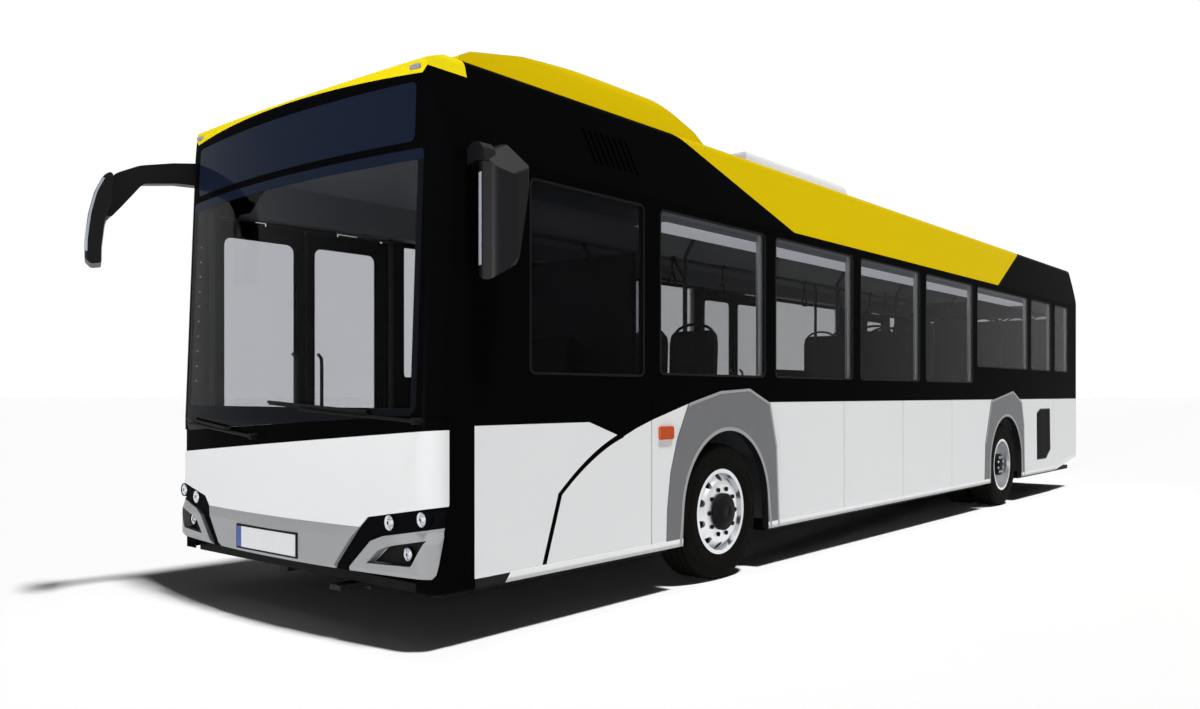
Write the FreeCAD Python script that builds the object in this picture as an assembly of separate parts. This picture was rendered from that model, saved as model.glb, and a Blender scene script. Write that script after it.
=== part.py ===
import FreeCAD, Part
import math
import os

V = FreeCAD.Vector

# City bus, twelve metres long, low floor, left-hand drive.
# Millimetres. X points to the bus's left, the front looks towards -Y, Z is up.
# Lengths along Y are measured from the front axle, and export moves the origin to the middle of the floor plan.

# Overall body
HALF_W = 1275
TRIM_PROUD = 5
WALL = 50
SKIRT_Z = 298
BELT_Z = 1246
CANTRAIL_Z = 2520
COVE_Z = 2565
COVE_IN = 128
ROOF_EDGE_Z = 3085
ROOF_Z = 3112
ROOF_EDGE_R = 70
FRONT_Y = -2775
WHEELBASE = 6040
REAR_OVERHANG = 3190
REAR_Y = WHEELBASE + REAR_OVERHANG
SIDE_X = HALF_W - TRIM_PROUD
WALL_IN = SIDE_X - WALL
ROOF_EDGE_X = SIDE_X - COVE_IN
SEAL = 0.3

# Front and rear caps
CAP_Y = -2470
CORNER_Y = -2550
HEAD_Y = -2340
FRONT_BOW = 110
FRONT_LEAN = 85
LEAN_Z = 1150
FRONT_CORNER_R = 120
BROW_SLOPE = 0.38
REAR_CAP_Y = REAR_Y - 330
REAR_BOW = 12
REAR_CORNER_R = 110
TAIL_RISE_Y = REAR_Y - 1150
TAIL_Z = 443

# Front cap: each point as (in from the body's side, height)
BUMPER_Z = 378
BUMPER_BEVEL_Z = 402
BUMPER_STRIP_Z = 555
BUMPER_TOP = 612
BUMPER_PROUD = 18
CENTRE_EDGE = [(678, BUMPER_Z), (670, 404), (495, BUMPER_TOP)]
PANEL_EDGE = [(495, BUMPER_TOP), (435, 668), (-25, 742)]
HOUSING_EDGE = [(435, 668), (-25, 742), (-25, 636), (317, 578), (396, 547), (558, 395), (570, BUMPER_Z),
                (678, BUMPER_Z), (670, 404), (495, BUMPER_TOP)]
SURROUND_EDGE = [(-25, 636), (-25, BUMPER_Z), (570, BUMPER_Z), (558, 395), (396, 547), (317, 578)]
POCKET = [(38, 574), (104, 460), (122, 438), (423, 432), (343, 504), (265, 532)]
POCKET_DEEP = 32
HOUSING_SET = 6
BAND_SET = 8
LAMPS = [(282, 648, 42, 0), (66, 678, 40, 0), (177, 493, 37, 22)]
LAMP_DEEP = 60
PANEL_TOP_RIGHT = 924
PANEL_TOP_LEFT = 1126
ZONE_BACK = 90
ZONE_TOP = 750
SCREEN_X = SIDE_X - 105
SCREEN_LOW_RIGHT = 1070
SCREEN_LOW_LEFT = 1200
SCREEN_TOP = 2556
DISPLAY_X = SIDE_X - 170
DISPLAY_LOW = 2596
DISPLAY_TOP = 2905
GLASS = 8

# Side windows: front end, rear end and sill of each
WINDOW_TOP = 2503
WINDOW_R = 45
SILL = 1430
HIGH_SILL = 1610
BAY_Y = -770
BAY = (WHEELBASE - 1630) / 3
BAY_POST = 145
DOORS = [(-2470, -1030), (WHEELBASE - 2670, WHEELBASE - 1250), (WHEELBASE + 890, WHEELBASE + 2310)]
DOOR_PIER = 120
BAYS = [(BAY_Y + BAY * i, BAY_Y + BAY * (i + 1) - BAY_POST, SILL) for i in range(4)]
LEFT_WINDOWS = [(-1970, -930, 1415)] + BAYS + [
    (WHEELBASE - 940, WHEELBASE + 870, HIGH_SILL), (WHEELBASE + 1000, WHEELBASE + 1850, HIGH_SILL),
    (WHEELBASE + 2030, WHEELBASE + 2650, HIGH_SILL)]
RIGHT_WINDOWS = [
    (DOORS[0][1] + DOOR_PIER + 60, BAYS[0][1], SILL), BAYS[1], (BAYS[2][0], DOORS[1][0] - DOOR_PIER, SILL),
    (DOORS[1][1] + DOOR_PIER + 20, DOORS[2][0] - DOOR_PIER - 30, HIGH_SILL),
    (DOORS[2][1] + DOOR_PIER, REAR_CAP_Y - 100, HIGH_SILL)]
PANE = 6
PANE_SET = 2

# Seams, foot moulding, side grille and cove louvres
SEAMS = [-856, 1854, 3091, 4347, WHEELBASE + 2012]
SEAM_HALF = 3
SEAM_DEEP = 4
ROCKER = 50
GRILLE = [(WHEELBASE + 1236, 1067), (WHEELBASE + 1380, 1123), (WHEELBASE + 1822, 1122), (WHEELBASE + 1846, 578),
          (WHEELBASE + 1653, 468), (WHEELBASE + 1250, 469)]
GRILLE_RIM = 16
GRILLE_DEEP = 30
GRILLE_SLOTS = 12
GRILLE_OPEN = 34
LOUVRE_START = (-1450, 2690, 2900)
LOUVRE_COUNT = 8
LOUVRE_PITCH = 58
LOUVRE_OPEN = 26
LOUVRE_LEAN = 70
LOUVRE_DEEP = 12

# Wheels and axles
TYRE_R = 478.5
TYRE_W = 275
TYRE_OUT = SIDE_X - 25
RIM_R = 285
FLANGE_R = 300
RIM_WALL = 12
FLANGE_W = 14
SHOULDER = 34
SHOULDER_R = 26
BULGE_R = 372
BEAD_IN = 8
HUB_R = 92
SPINDLE_R = 45
REAR_SPINDLE_R = 60
TWIN_PITCH = 320
VENT_COUNT = 10
VENT_R = 27
VENT_PCR = 240
RUN = 0.3
KINGPIN_X = TYRE_OUT - 245
KINGPIN_R = 25
BOSS_R = 55
BOSS_HALF = 82
LUG_T = 40
STEER_GAP = 0.5
BEAM_HALF = 45
BEAM_LOW = 115
REAR_TUBE_R = 44
PORTAL_T = 70
PORTAL_X = TYRE_OUT - 670
HUB_GAP = 75

# Wheel arches, each point as (behind the axle, height), with the opening's crown as an arc
FRONT_ARCH_OUT = [(-700, SKIRT_Z), (-690, 560), (-655, 790), (-581, 1006), (-447, 1246), (-60, 1328), (322, 1347),
                  (618, 1240), (717, 910), (755, SKIRT_Z)]
FRONT_ARCH_IN = ((-533, -504, 560), (40, 1049), (580, 619, 560))
REAR_ARCH_OUT = [(-703, SKIRT_Z), (-674, 762), (-481, 1235), (284, 1344), (613, 1217), (708, 945), (741, SKIRT_Z)]
REAR_ARCH_IN = ((-518, -500, 600), (50, 1045), (605, 627, 600))
ARCH_ROUND = 40

# Door leaves, in pairs
FLOOR_Z = 320
FLOOR_T = 50
LEAF_T = 40
LEAF_LOW = 342
LEAF_TOP = 2490
LEAF_BORDER = 65
LEAF_GLASS_R = 70
LEAF_PANE = 6
JAMB_GAP = 14
MEET_GAP = 12
LEAF_X = SIDE_X - 25
POST_R = 18
POST_IN = 60
POST_BACK = 22
ARM_L = 300
ARM_T = 10
ARM_HALF = 14
DOOR_PIN_R = 8
DOOR_LUG_T = 12
ARM_GAP = 6

# Rear hatch
HATCH_X = SIDE_X - 270
HATCH_LOW = 560
HATCH_TOP = 1500
HATCH_GAP = 6
HATCH_TOP_GAP = 11
HATCH_T = 40
HINGE_X = HATCH_X - 350
HINGE_HALF = 30
HINGE_EAR = 28
HINGE_R = 11
HINGE_PIN_R = 6
HINGE_IN = 8
HINGE_DOWN = 10
HINGE_NOTCH = 16
REAR_WINDOW_X = HATCH_X - 70
HATCH_SLOTS = 7
HATCH_SLOT_X = HATCH_X - 260
HATCH_SLOT_Z = 760
HATCH_SLOT_PITCH = 70
HATCH_SLOT_H = 30
REAR_LAMP_IN = 28
REAR_LAMP_W = 110
REAR_LAMP_Z = [(640, 860), (890, 1090), (1120, 1320)]
REAR_LAMP_DEEP = 40
REAR_WINDOW_LOW = 1640
REAR_WINDOW_TOP = 2440

# Underbody
RAIL_X = 420
RAIL_W = 80
RAIL_LOW = 200
CROSS_Y = [-1900, -1000] + [WHEELBASE * i / 5 for i in range(1, 5)] + [WHEELBASE + 1160, WHEELBASE + 2260]
CROSS_HALF = WALL_IN - 220
PAD_X = RAIL_X + 380
TOW_R = 20
TOW_T = 30
PAD = 120
ENGINE_W = 870
ENGINE_AHEAD = 1340
ENGINE_H = 1060
BOX_IN_FRONT = WALL_IN - 620
BOX_IN_REAR = WALL_IN - 680
BOX_T = 20
BOX_HALF = 640
BOX_TOP = 1080
BOX_KNEE = 860
BOX_SLOPE = 220
BOX_TAIL = 40

# Roof
FAIRING_X = ROOF_EDGE_X - 62
FAIRING = [(-2340, 3060), (-2300, 3130), (-2210, 3175), (-1790, 3262), (-1290, 3312), (-760, 3336), (-540, 3338),
           (-70, 3175), (90, 3060)]
UNIT_X = ROOF_EDGE_X - 262
UNIT_Y0 = 900
UNIT_Y1 = 2820
UNIT_TOP = 3300

# Cabin: each seat as (to the left, its back behind the front axle, height of its top, what its foot stands on)
SEAT_W = 440
SEAT_TALL = 640
SEAT_DEEP = 430
PODIUM_TOP = 1380
WINDOW_SEAT_X = WALL_IN - 270
AISLE_SEAT_X = WALL_IN - 730
BENCH_Y = REAR_CAP_Y + 70
PODIUM_OFF = 125
SEATS = [
    (AISLE_SEAT_X, 770, 1820, FLOOR_Z), (-WINDOW_SEAT_X, 2070, 1910, FLOOR_Z), (-WINDOW_SEAT_X, 1360, 1860, FLOOR_Z),
    (WINDOW_SEAT_X, BAYS[2][0] + 1280, 1910, FLOOR_Z), (AISLE_SEAT_X, BAYS[2][0] + 1390, 1915, FLOOR_Z),
    (WINDOW_SEAT_X, WHEELBASE - 1900, 2040, FLOOR_Z), (AISLE_SEAT_X, WHEELBASE - 1850, 1990, FLOOR_Z),
    (WINDOW_SEAT_X, WHEELBASE - 840, 2140, FLOOR_Z), (AISLE_SEAT_X, WHEELBASE - 840, 2140, FLOOR_Z),
    (-WINDOW_SEAT_X, WHEELBASE - 300, 2060, BOX_TOP), (WINDOW_SEAT_X, WHEELBASE + 250, 2190, BOX_TOP),
    (WINDOW_SEAT_X, WHEELBASE + 1640, 2280, PODIUM_TOP), (AISLE_SEAT_X, WHEELBASE + 1640, 2280, PODIUM_TOP)]
BENCH = [(x * SEAT_W * 1.03, BENCH_Y, 2380, PODIUM_TOP) for x in (-2, -1, 0, 1, 2)]
DRIVER_X = WALL_IN - 540
STEER_FOOT = (-2230, 900)
STEER_LEAN = (0.55, 0.83)
STEER_COLUMN = 330
STEER_R = 230
CAB_IN = WALL_IN - 1070
CAB_WALL_Y = -1000
CAB_FLOOR = FLOOR_Z + 200
CEILING_Z = 2760
CEILING_T = 20
POLE_R = 17
POLE_BEND_Z = 2480
POLE_BEND = 130
RAIL_Z = 2440
RAIL_X_LEFT = AISLE_SEAT_X - 250
RAIL_X_RIGHT = -WALL_IN + 520
LEFT_POLES = [980, 2380, BAYS[2][1] + 300, WHEELBASE - 730, WHEELBASE + 1000]
RIGHT_POLES = [880, 2300]
REAR_POLES = [(RAIL_X_RIGHT, WHEELBASE - 940), (-BOX_IN_REAR + 20, WHEELBASE + 700)]
DUCT = [(140, 2520), (170, 2445), (290, 2445), (340, 2540)]

# Mirrors and wipers
MIRROR_REACH = 225
MIRROR_AHEAD = 495
MIRROR_OUT = HALF_W + MIRROR_REACH
MIRROR_FRONT = FRONT_Y - MIRROR_AHEAD
MIRROR_SPREAD_IN = 78
MIRROR_ROOT = 37
MIRROR_HEAD_OUT = 200
MIRROR_HEAD_IN = 58
MIRROR_ARM_HALF = 45
# Right mirror's arm from the side, each point as (share of the reach, height, rounding)
MIRROR_ARM = [(-0.03, 2832, 0), (0.27, 2806, 250), (0.59, 2761, 250), (0.82, 2690, 150), (0.95, 2590, 80),
              (0.98, 2450, 40), (0.86, 2410, 20), (0.75, 2494, 60), (0.56, 2647, 60), (0.24, 2676, 200),
              (-0.03, 2680, 0)]
# Right mirror's head across its glass, each point as (ahead of the arm's end, height, rounding)
MIRROR_HEAD = [(-44, 2121, 15), (15, 2113, 25), (49, 2147, 25), (47, 2260, 200), (28, 2420, 300), (-6, 2560, 250),
               (-60, 2672, 120), (-112, 2700, 30), (-100, 2480, 40), (-63, 2390, 100), (-46, 2240, 200)]
MIRROR_TURN = 22.5
MIRROR_NEAR = 50
MIRROR_FAR = 205
MIRROR_EDGE_R = 20
# Left mirror: front as (in from the outer edge, height), plan as (in, behind the corner), side as (behind, z)
MIRROR_LEFT_BACK = 90
MIRROR_LEFT_RISE = 0.445
MIRROR_LEFT_FRONT = [(186, 1895, 30), (95, 1858, 70), (0, 1900, 60), (0, 2358, 30), (130, 2512, 40),
                     (188, 2530, 20)]
MIRROR_LEFT_PLAN = [(186, 118, 40), (60, 162, 90), (0, 240, 50), (0, 354, 15), (172, 293, 12)]
MIRROR_LEFT_SIDE = [(90, 1800, 0), (255, 1800, 0), (262, 1960, 60), (354, 2440, 80), (354, 2700, 0), (90, 2700, 0)]
MIRROR_LEFT_ARM = [(250, 2480, 0), (165, 2500, 30), (95, 2490, 0), (112, 2560, 20), (140, 2592, 30), (185, 2600, 40),
                   (250, 2555, 0)]
MIRROR_LEFT_ARM_W = 85
WIPER_R = 9
WIPER_OFF = 34
WIPERS = [(SIDE_X - 81, 1171, 330, 1222), (-168, 1062, -SCREEN_X + 170, 1120)]

# Origin: middle of the overall length, with the mirrors, on the ground
ORIGIN_Y = (REAR_Y + MIRROR_FRONT) / 2


def plane_x(x):
    """Returns a map from (y, z) to a point at this x."""
    return lambda a, b: V(x, a, b)


def plane_y(y):
    """Returns a map from (x, z) to a point at this y."""
    return lambda a, b: V(a, y, b)


def plane_z(z):
    """Returns a map from (x, y) to a point at this z."""
    return lambda a, b: V(a, b, z)


def corner_cut(before, corner, after, radius):
    """Start, middle and end of the arc that rounds a corner."""
    one = (before - corner).normalize()
    two = (after - corner).normalize()
    half = one.getAngle(two) / 2
    reach = radius / math.tan(half)
    room = 0.49 * min(before.distanceToPoint(corner), after.distanceToPoint(corner))
    if reach > room:
        radius = radius * room / reach
        reach = room
    middle = (one + two).normalize()
    centre = corner + middle * (radius / math.sin(half))
    return corner + one * reach, centre - middle * radius, corner + two * reach


def outline(points, place, radius=0):
    """Closed wire through the points, with each corner rounded; a third number overrides the radius."""
    at = [place(p[0], p[1]) for p in points]
    radii = [p[2] if len(p) > 2 else radius for p in points]
    ends = []
    for i, corner in enumerate(at):
        if radii[i] > 0:
            ends.append(corner_cut(at[i - 1], corner, at[(i + 1) % len(at)], radii[i]))
        else:
            ends.append((corner, None, corner))
    edges = []
    for i, (start, middle, end) in enumerate(ends):
        if middle is not None:
            edges.append(Part.Arc(start, middle, end).toShape())
        following = ends[(i + 1) % len(ends)][0]
        if end.distanceToPoint(following) > 0.001:
            edges.append(Part.makeLine(end, following))
    return Part.Wire(edges)


def slab(points, place, along, radius=0):
    """Solid made by pushing an outline along a vector."""
    return Part.Face(outline(points, place, radius)).extrude(along)


def box(x0, x1, y0, y1, z0, z1):
    return Part.makeBox(x1 - x0, y1 - y0, z1 - z0, V(x0, y0, z0))


def tube_x(radius, x0, x1, y, z):
    return Part.makeCylinder(radius, x1 - x0, V(x0, y, z), V(1, 0, 0))


def post_z(radius, x, y, z0, z1):
    return Part.makeCylinder(radius, z1 - z0, V(x, y, z0), V(0, 0, 1))


def mirrored(shape):
    """The same shape on the other side of the bus."""
    return shape.mirror(V(0, 0, 0), V(1, 0, 0))


def both(shape):
    return [shape, mirrored(shape)]


def rect(a0, a1, b0, b1):
    return [(a0, b0), (a1, b0), (a1, b1), (a0, b1)]


# Cross section of the body

def section(inset, low):
    """Half-rounded cross section of the body, moved in by a wall."""
    side = SIDE_X - inset
    edge_x = ROOF_EDGE_X - inset * 0.97
    edge_z = ROOF_EDGE_Z - inset * 1.05
    top = ROOF_Z - inset
    return [(side, low, 0), (side, COVE_Z, 0), (edge_x, edge_z, ROOF_EDGE_R), (0, top, 0),
            (-edge_x, edge_z, ROOF_EDGE_R), (-side, COVE_Z, 0), (-side, low, 0)]


def section_solid(inset, low, y0, y1):
    return slab(section(inset, low), plane_y(y0), V(0, y1 - y0, 0))


def plan_wire(z, end_y, back_y, bow, corner, inset):
    """Plan outline of an end cap: straight sides, tight corners and a bowed end."""
    way = 1 if end_y > back_y else -1
    side = SIDE_X - inset
    tip = abs(end_y - back_y) - inset
    big = (SIDE_X * SIDE_X + bow * bow) / (2 * bow)
    r = corner - inset if corner > inset + 20 else 20
    cx = side - r
    cy = tip - big + math.sqrt((big - r) ** 2 - cx ** 2)
    turn = math.atan2(cx, cy - (tip - big))
    tx = cx + r * math.sin(turn)
    ty = cy + r * math.cos(turn)
    half = (turn + math.pi / 2) / 2
    mx = cx + r * math.sin(half)
    my = cy + r * math.cos(half)

    def at(x, t):
        return V(x, back_y + way * t, z)
    edges = [
        Part.makeLine(at(side, 0), at(side, cy)),
        Part.Arc(at(side, cy), at(mx, my), at(tx, ty)).toShape(),
        Part.Arc(at(tx, ty), at(0, tip), at(-tx, ty)).toShape(),
        Part.Arc(at(-tx, ty), at(-mx, my), at(-side, cy)).toShape(),
        Part.makeLine(at(-side, cy), at(-side, 0)),
        Part.makeLine(at(-side, 0), at(side, 0))]
    return Part.Wire(edges)


def front_mass(inset):
    """The front cap as a full solid, moved in by an inset."""
    low = plan_wire(SKIRT_Z - 100, FRONT_Y, HEAD_Y, FRONT_BOW, FRONT_CORNER_R, inset)
    mid = plan_wire(LEAN_Z, FRONT_Y, HEAD_Y, FRONT_BOW, FRONT_CORNER_R, inset)
    top = plan_wire(ROOF_Z + 100, FRONT_Y + FRONT_LEAN, HEAD_Y, FRONT_BOW, FRONT_CORNER_R, inset)
    lower = Part.makeLoft([low, mid], True, True)
    upper = Part.makeLoft([mid, top], True, True)
    return lower.fuse(upper).common(section_solid(inset, 0, FRONT_Y - 100, HEAD_Y))


def brow_cut(inset):
    """What the sloping brow takes off the top of the front cap."""
    rise = BROW_SLOPE * (HEAD_Y - FRONT_Y + 100)
    top = ROOF_Z + 10 - inset
    pts = [(HEAD_Y, top), (FRONT_Y - 100, top - rise), (FRONT_Y - 100, top + 200), (HEAD_Y, top + 200)]
    return slab(pts, plane_x(-HALF_W - 50), V(2 * HALF_W + 100, 0, 0))


def front_shell(outer, inner):
    """The front cap between two insets."""
    return front_mass(outer).cut(brow_cut(outer)).cut(front_mass(inner).cut(brow_cut(inner)))


def through(points, y0, y1, radius=0):
    """Cutter with the outline given as seen from the front."""
    return slab(points, plane_y(y0), V(0, y1 - y0, 0), radius)


def off_side(points):
    """Turns distances from the body's side into places on the left half."""
    return [(SIDE_X - x, z) for x, z in points]


def across(points):
    """Outline with both halves, from the points of the left half."""
    left = off_side(points)
    return left + [(-x, z) for x, z in reversed(left)]


def panel_outline():
    low = across(PANEL_EDGE)
    out = HALF_W + 20
    return low[:2] + [(out, low[2][1]), (out, PANEL_TOP_LEFT), (-out, PANEL_TOP_RIGHT), (-out, low[2][1])] + low[4:]


def front_zone():
    """Everything ahead of the slanting rear edge of bumper, lamp housing and panel."""
    far = FRONT_Y - 200
    pts = [(far, 0), (CORNER_Y - ZONE_BACK, 0), (CORNER_Y - ZONE_BACK, BUMPER_Z), (CORNER_Y, ZONE_TOP),
           (CORNER_Y, ROOF_Z + 200), (far, ROOF_Z + 200)]
    return slab(pts, plane_x(-HALF_W - 50), V(2 * HALF_W + 100, 0, 0))


def bumper_mass():
    """Full solid of the bumper, with a bevel below and a slope above."""
    levels = [(BUMPER_Z, 0), (BUMPER_BEVEL_Z, BUMPER_PROUD), (BUMPER_STRIP_Z, BUMPER_PROUD), (BUMPER_TOP, 0),
              (BUMPER_TOP + 60, 0)]
    wires = [plan_wire(z, FRONT_Y, HEAD_Y, FRONT_BOW, FRONT_CORNER_R, -out) for z, out in levels]
    solid = Part.makeLoft(wires, True, True)
    return solid.common(box(-HALF_W, HALF_W, FRONT_Y - 200, HEAD_Y, 0, BUMPER_TOP + 60))


def bumpers(zone):
    """Middle bumper and the two fog lamp surrounds, each with a pocket."""
    far = FRONT_Y - 200
    skin = bumper_mass().cut(front_mass(WALL)).common(zone)
    centre = skin.common(through(across(CENTRE_EDGE), far, CORNER_Y))
    surround = skin.common(through(off_side(SURROUND_EDGE), far, CORNER_Y))
    pocket = front_shell(-2 * BUMPER_PROUD, POCKET_DEEP).common(through(off_side(POCKET), far, CORNER_Y))
    return [centre] + both(surround.cut(pocket))


def screen_outline(inset):
    return [(-SCREEN_X + inset, SCREEN_LOW_RIGHT + inset, 60), (SCREEN_X - inset, SCREEN_LOW_LEFT + inset, 60),
            (SCREEN_X - inset, SCREEN_TOP - inset, 30), (-SCREEN_X + inset, SCREEN_TOP - inset, 30)]


def display_outline(inset):
    return [(x, z, 35) for x, z in rect(-DISPLAY_X + inset, DISPLAY_X - inset, DISPLAY_LOW + inset,
                                         DISPLAY_TOP - inset)]


def front_cap():
    """Frame, panel, bumper parts, lamp housings and glass of the front."""
    far = FRONT_Y - 200
    out = HALF_W + 20
    shell = front_shell(0, WALL)
    zone = front_zone()
    panel = shell.common(zone).common(through(panel_outline(), far, CORNER_Y + 10))
    housing = front_shell(HOUSING_SET, WALL).common(zone)
    housing = housing.common(through(off_side(HOUSING_EDGE), far, CORNER_Y))
    top_edge = [(out, PANEL_TOP_LEFT), (-out, PANEL_TOP_RIGHT)]
    under_panel = through([(-out, 0), (out, 0)] + top_edge, far, CORNER_Y)
    frame = shell.cut(under_panel.common(zone))
    band = through(top_edge + [(-out, SCREEN_LOW_RIGHT), (out, SCREEN_LOW_LEFT)], far, CORNER_Y)
    frame = frame.cut(front_shell(-BAND_SET, BAND_SET).common(band))
    frame = frame.cut(box(-HALF_W - 50, HALF_W + 50, CAP_Y, 0, 0, CANTRAIL_Z))
    frame = frame.cut(box(-HALF_W - 50, HALF_W + 50, far, 0, 0, SKIRT_Z))
    frame = frame.cut(through(screen_outline(0), far, HEAD_Y + 10))
    frame = frame.cut(through(display_outline(0), far, HEAD_Y + 10))
    skin = front_shell(PANE_SET, PANE_SET + GLASS)
    screen = skin.common(through(screen_outline(SEAL), far, HEAD_Y - 100))
    display = skin.common(through(display_outline(SEAL), far, HEAD_Y - 100))
    return frame, panel, bumpers(zone), both(housing), Part.makeCompound([screen, display])


# Sides

def windows(spans, x0, x1, inset=0):
    cuts = []
    for front, rear, sill in spans:
        pts = rect(front + inset, rear - inset, sill + inset, WINDOW_TOP - inset)
        cuts.append(slab(pts, plane_x(x0), V(x1 - x0, 0, 0), WINDOW_R - inset))
    return cuts


def arch_opening(axle, spec, x0, x1):
    """Opening over a wheel: two leaning legs and a crown through the top point."""
    (low0, high0, z0), (cy, crown), (high1, low1, z1) = spec

    def at(y, z):
        return V(x0, axle + y, z)
    edges = [
        Part.makeLine(at(low0, 0), at(high0, z0)),
        Part.Arc(at(high0, z0), at(cy, crown), at(high1, z1)).toShape(),
        Part.makeLine(at(high1, z1), at(low1, 0)),
        Part.makeLine(at(low1, 0), at(low0, 0))]
    return Part.Face(Part.Wire(edges)).extrude(V(x1 - x0, 0, 0))


def arch_field(axle, points, x0, x1):
    """Outline of the arch trim as a solid."""
    pts = [(axle + y, z, ARCH_ROUND if z > SKIRT_Z else 0) for y, z in points]
    return slab(pts, plane_x(x0), V(x1 - x0, 0, 0))


def arch_cuts():
    return [arch_field(0, FRONT_ARCH_OUT, WALL_IN - 10, HALF_W + 10),
            arch_field(WHEELBASE, REAR_ARCH_OUT, WALL_IN - 10, HALF_W + 10)]


def arch_trims():
    front = arch_field(0, FRONT_ARCH_OUT, WALL_IN, HALF_W)
    front = front.cut(arch_opening(0, FRONT_ARCH_IN, WALL_IN - 10, HALF_W + 10))
    rear = arch_field(WHEELBASE, REAR_ARCH_OUT, WALL_IN, HALF_W)
    rear = rear.cut(arch_opening(WHEELBASE, REAR_ARCH_IN, WALL_IN - 10, HALF_W + 10))
    return Part.makeCompound(both(front) + both(rear))


def tail_height(y):
    """Lower edge of the body behind the rear axle."""
    return SKIRT_Z + (TAIL_Z - SKIRT_Z) * max(0, y - TAIL_RISE_Y) / (REAR_Y - TAIL_RISE_Y)


def skirt_plate():
    """Side panel below the belt with its seams and the moulding along its foot."""
    foot = [(CAP_Y, SKIRT_Z), (TAIL_RISE_Y, SKIRT_Z), (REAR_CAP_Y, tail_height(REAR_CAP_Y))]
    plate = slab(foot + [(REAR_CAP_Y, BELT_Z), (CAP_Y, BELT_Z)], plane_x(WALL_IN), V(WALL, 0, 0))
    for y in SEAMS:
        plate = plate.cut(box(SIDE_X - SEAM_DEEP, SIDE_X + 1, y - SEAM_HALF, y + SEAM_HALF, 0, BELT_Z + 1))
    raised = [(y, z + ROCKER) for y, z in reversed(foot)]
    moulding = slab(foot + raised, plane_x(WALL_IN), V(WALL + TRIM_PROUD, 0, 0))
    return plate.fuse(moulding).cut(arch_cuts()).removeSplitter()


def grille_field(inset, x0, x1):
    """Outline of the side grille as a solid, moved in by an inset."""
    middle_y = (GRILLE[0][0] + GRILLE[3][0]) / 2
    middle_z = (GRILLE[1][1] + GRILLE[4][1]) / 2
    pts = []
    for y, z in GRILLE:
        pts.append((y + (inset if y < middle_y else -inset), z + (inset if z < middle_z else -inset), 12))
    return slab(pts, plane_x(x0), V(x1 - x0, 0, 0))


def side_grille():
    """Sunk air intake for the engine with upright slats."""
    plate = grille_field(SEAL, WALL_IN, SIDE_X - PANE_SET)
    inner = grille_field(GRILLE_RIM, SIDE_X - GRILLE_DEEP, SIDE_X + 1)
    y0 = GRILLE[0][0] + GRILLE_RIM
    pitch = (GRILLE[3][0] - GRILLE[0][0] - 2 * GRILLE_RIM) / GRILLE_SLOTS
    slots = []
    for i in range(GRILLE_SLOTS):
        y = y0 + pitch * (i + 0.5)
        slots.append(box(SIDE_X - 2 * GRILLE_DEEP, SIDE_X + 1, y - GRILLE_OPEN / 2, y + GRILLE_OPEN / 2, 0, BELT_Z))
    return plate.cut([inner.common(slot) for slot in slots])


def wall_plate(spans):
    pts = rect(CAP_Y, REAR_CAP_Y, BELT_Z, CANTRAIL_Z)
    plate = slab(pts, plane_x(WALL_IN), V(WALL, 0, 0))
    return plate.cut(windows(spans, WALL_IN - 10, SIDE_X + 10) + arch_cuts())


def door_gaps():
    return [box(WALL_IN - 10, HALF_W + 10, y0, y1, 0, CANTRAIL_Z + 1) for y0, y1 in DOORS]


def sides():
    left_skirt = skirt_plate().cut(grille_field(0, WALL_IN - 10, HALF_W + 10))
    left_wall = wall_plate(LEFT_WINDOWS)
    right_skirt = mirrored(skirt_plate().cut(door_gaps()))
    right_wall = mirrored(wall_plate(RIGHT_WINDOWS).cut(door_gaps()))
    return left_skirt, left_wall, right_skirt, right_wall


def side_glass():
    out = SIDE_X - PANE_SET
    left = windows(LEFT_WINDOWS, out - PANE, out, SEAL)
    right = [mirrored(pane) for pane in windows(RIGHT_WINDOWS, out - PANE, out, SEAL)]
    return left + right


# Roof

def roof():
    shell = section_solid(0, CANTRAIL_Z, HEAD_Y, REAR_CAP_Y)
    shell = shell.cut(section_solid(WALL, CANTRAIL_Z - 10, HEAD_Y - 10, REAR_CAP_Y + 10))
    return shell.cut(louvres()).removeSplitter()


def louvres():
    """Slanting air slots sunk into the left cove."""
    y0, z0, z1 = LOUVRE_START
    slots = []
    for i in range(LOUVRE_COUNT):
        y = y0 + i * LOUVRE_PITCH
        pts = [(y, z1), (y + LOUVRE_OPEN, z1), (y + LOUVRE_OPEN + LOUVRE_LEAN, z0), (y + LOUVRE_LEAN, z0)]
        slots.append(slab(pts, plane_x(ROOF_EDGE_X - WALL), V(3 * WALL, 0, 0)))
    skin = section_solid(-SEAM_DEEP, COVE_Z, y0 - WALL, y0 + LOUVRE_COUNT * LOUVRE_PITCH + 2 * LOUVRE_LEAN)
    skin = skin.cut(section_solid(LOUVRE_DEEP, COVE_Z - 10, HEAD_Y, 0))
    return [slot.common(skin) for slot in slots]


def roof_fairing():
    pts = [(y, z, 30 if z > ROOF_EDGE_Z else 0) for y, z in FAIRING]
    side = slab(pts, plane_x(-FAIRING_X), V(2 * FAIRING_X, 0, 0))
    top = max(z for y, z in FAIRING)
    front = [(FAIRING_X, 3040, 0), (FAIRING_X - 60, top + 2, 120), (-FAIRING_X + 60, top + 2, 120),
             (-FAIRING_X, 3040, 0)]
    hump = side.common(through(front, HEAD_Y - 10, 200))
    return hump.cut(section_solid(0, CANTRAIL_Z, HEAD_Y - 20, 300))


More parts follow.
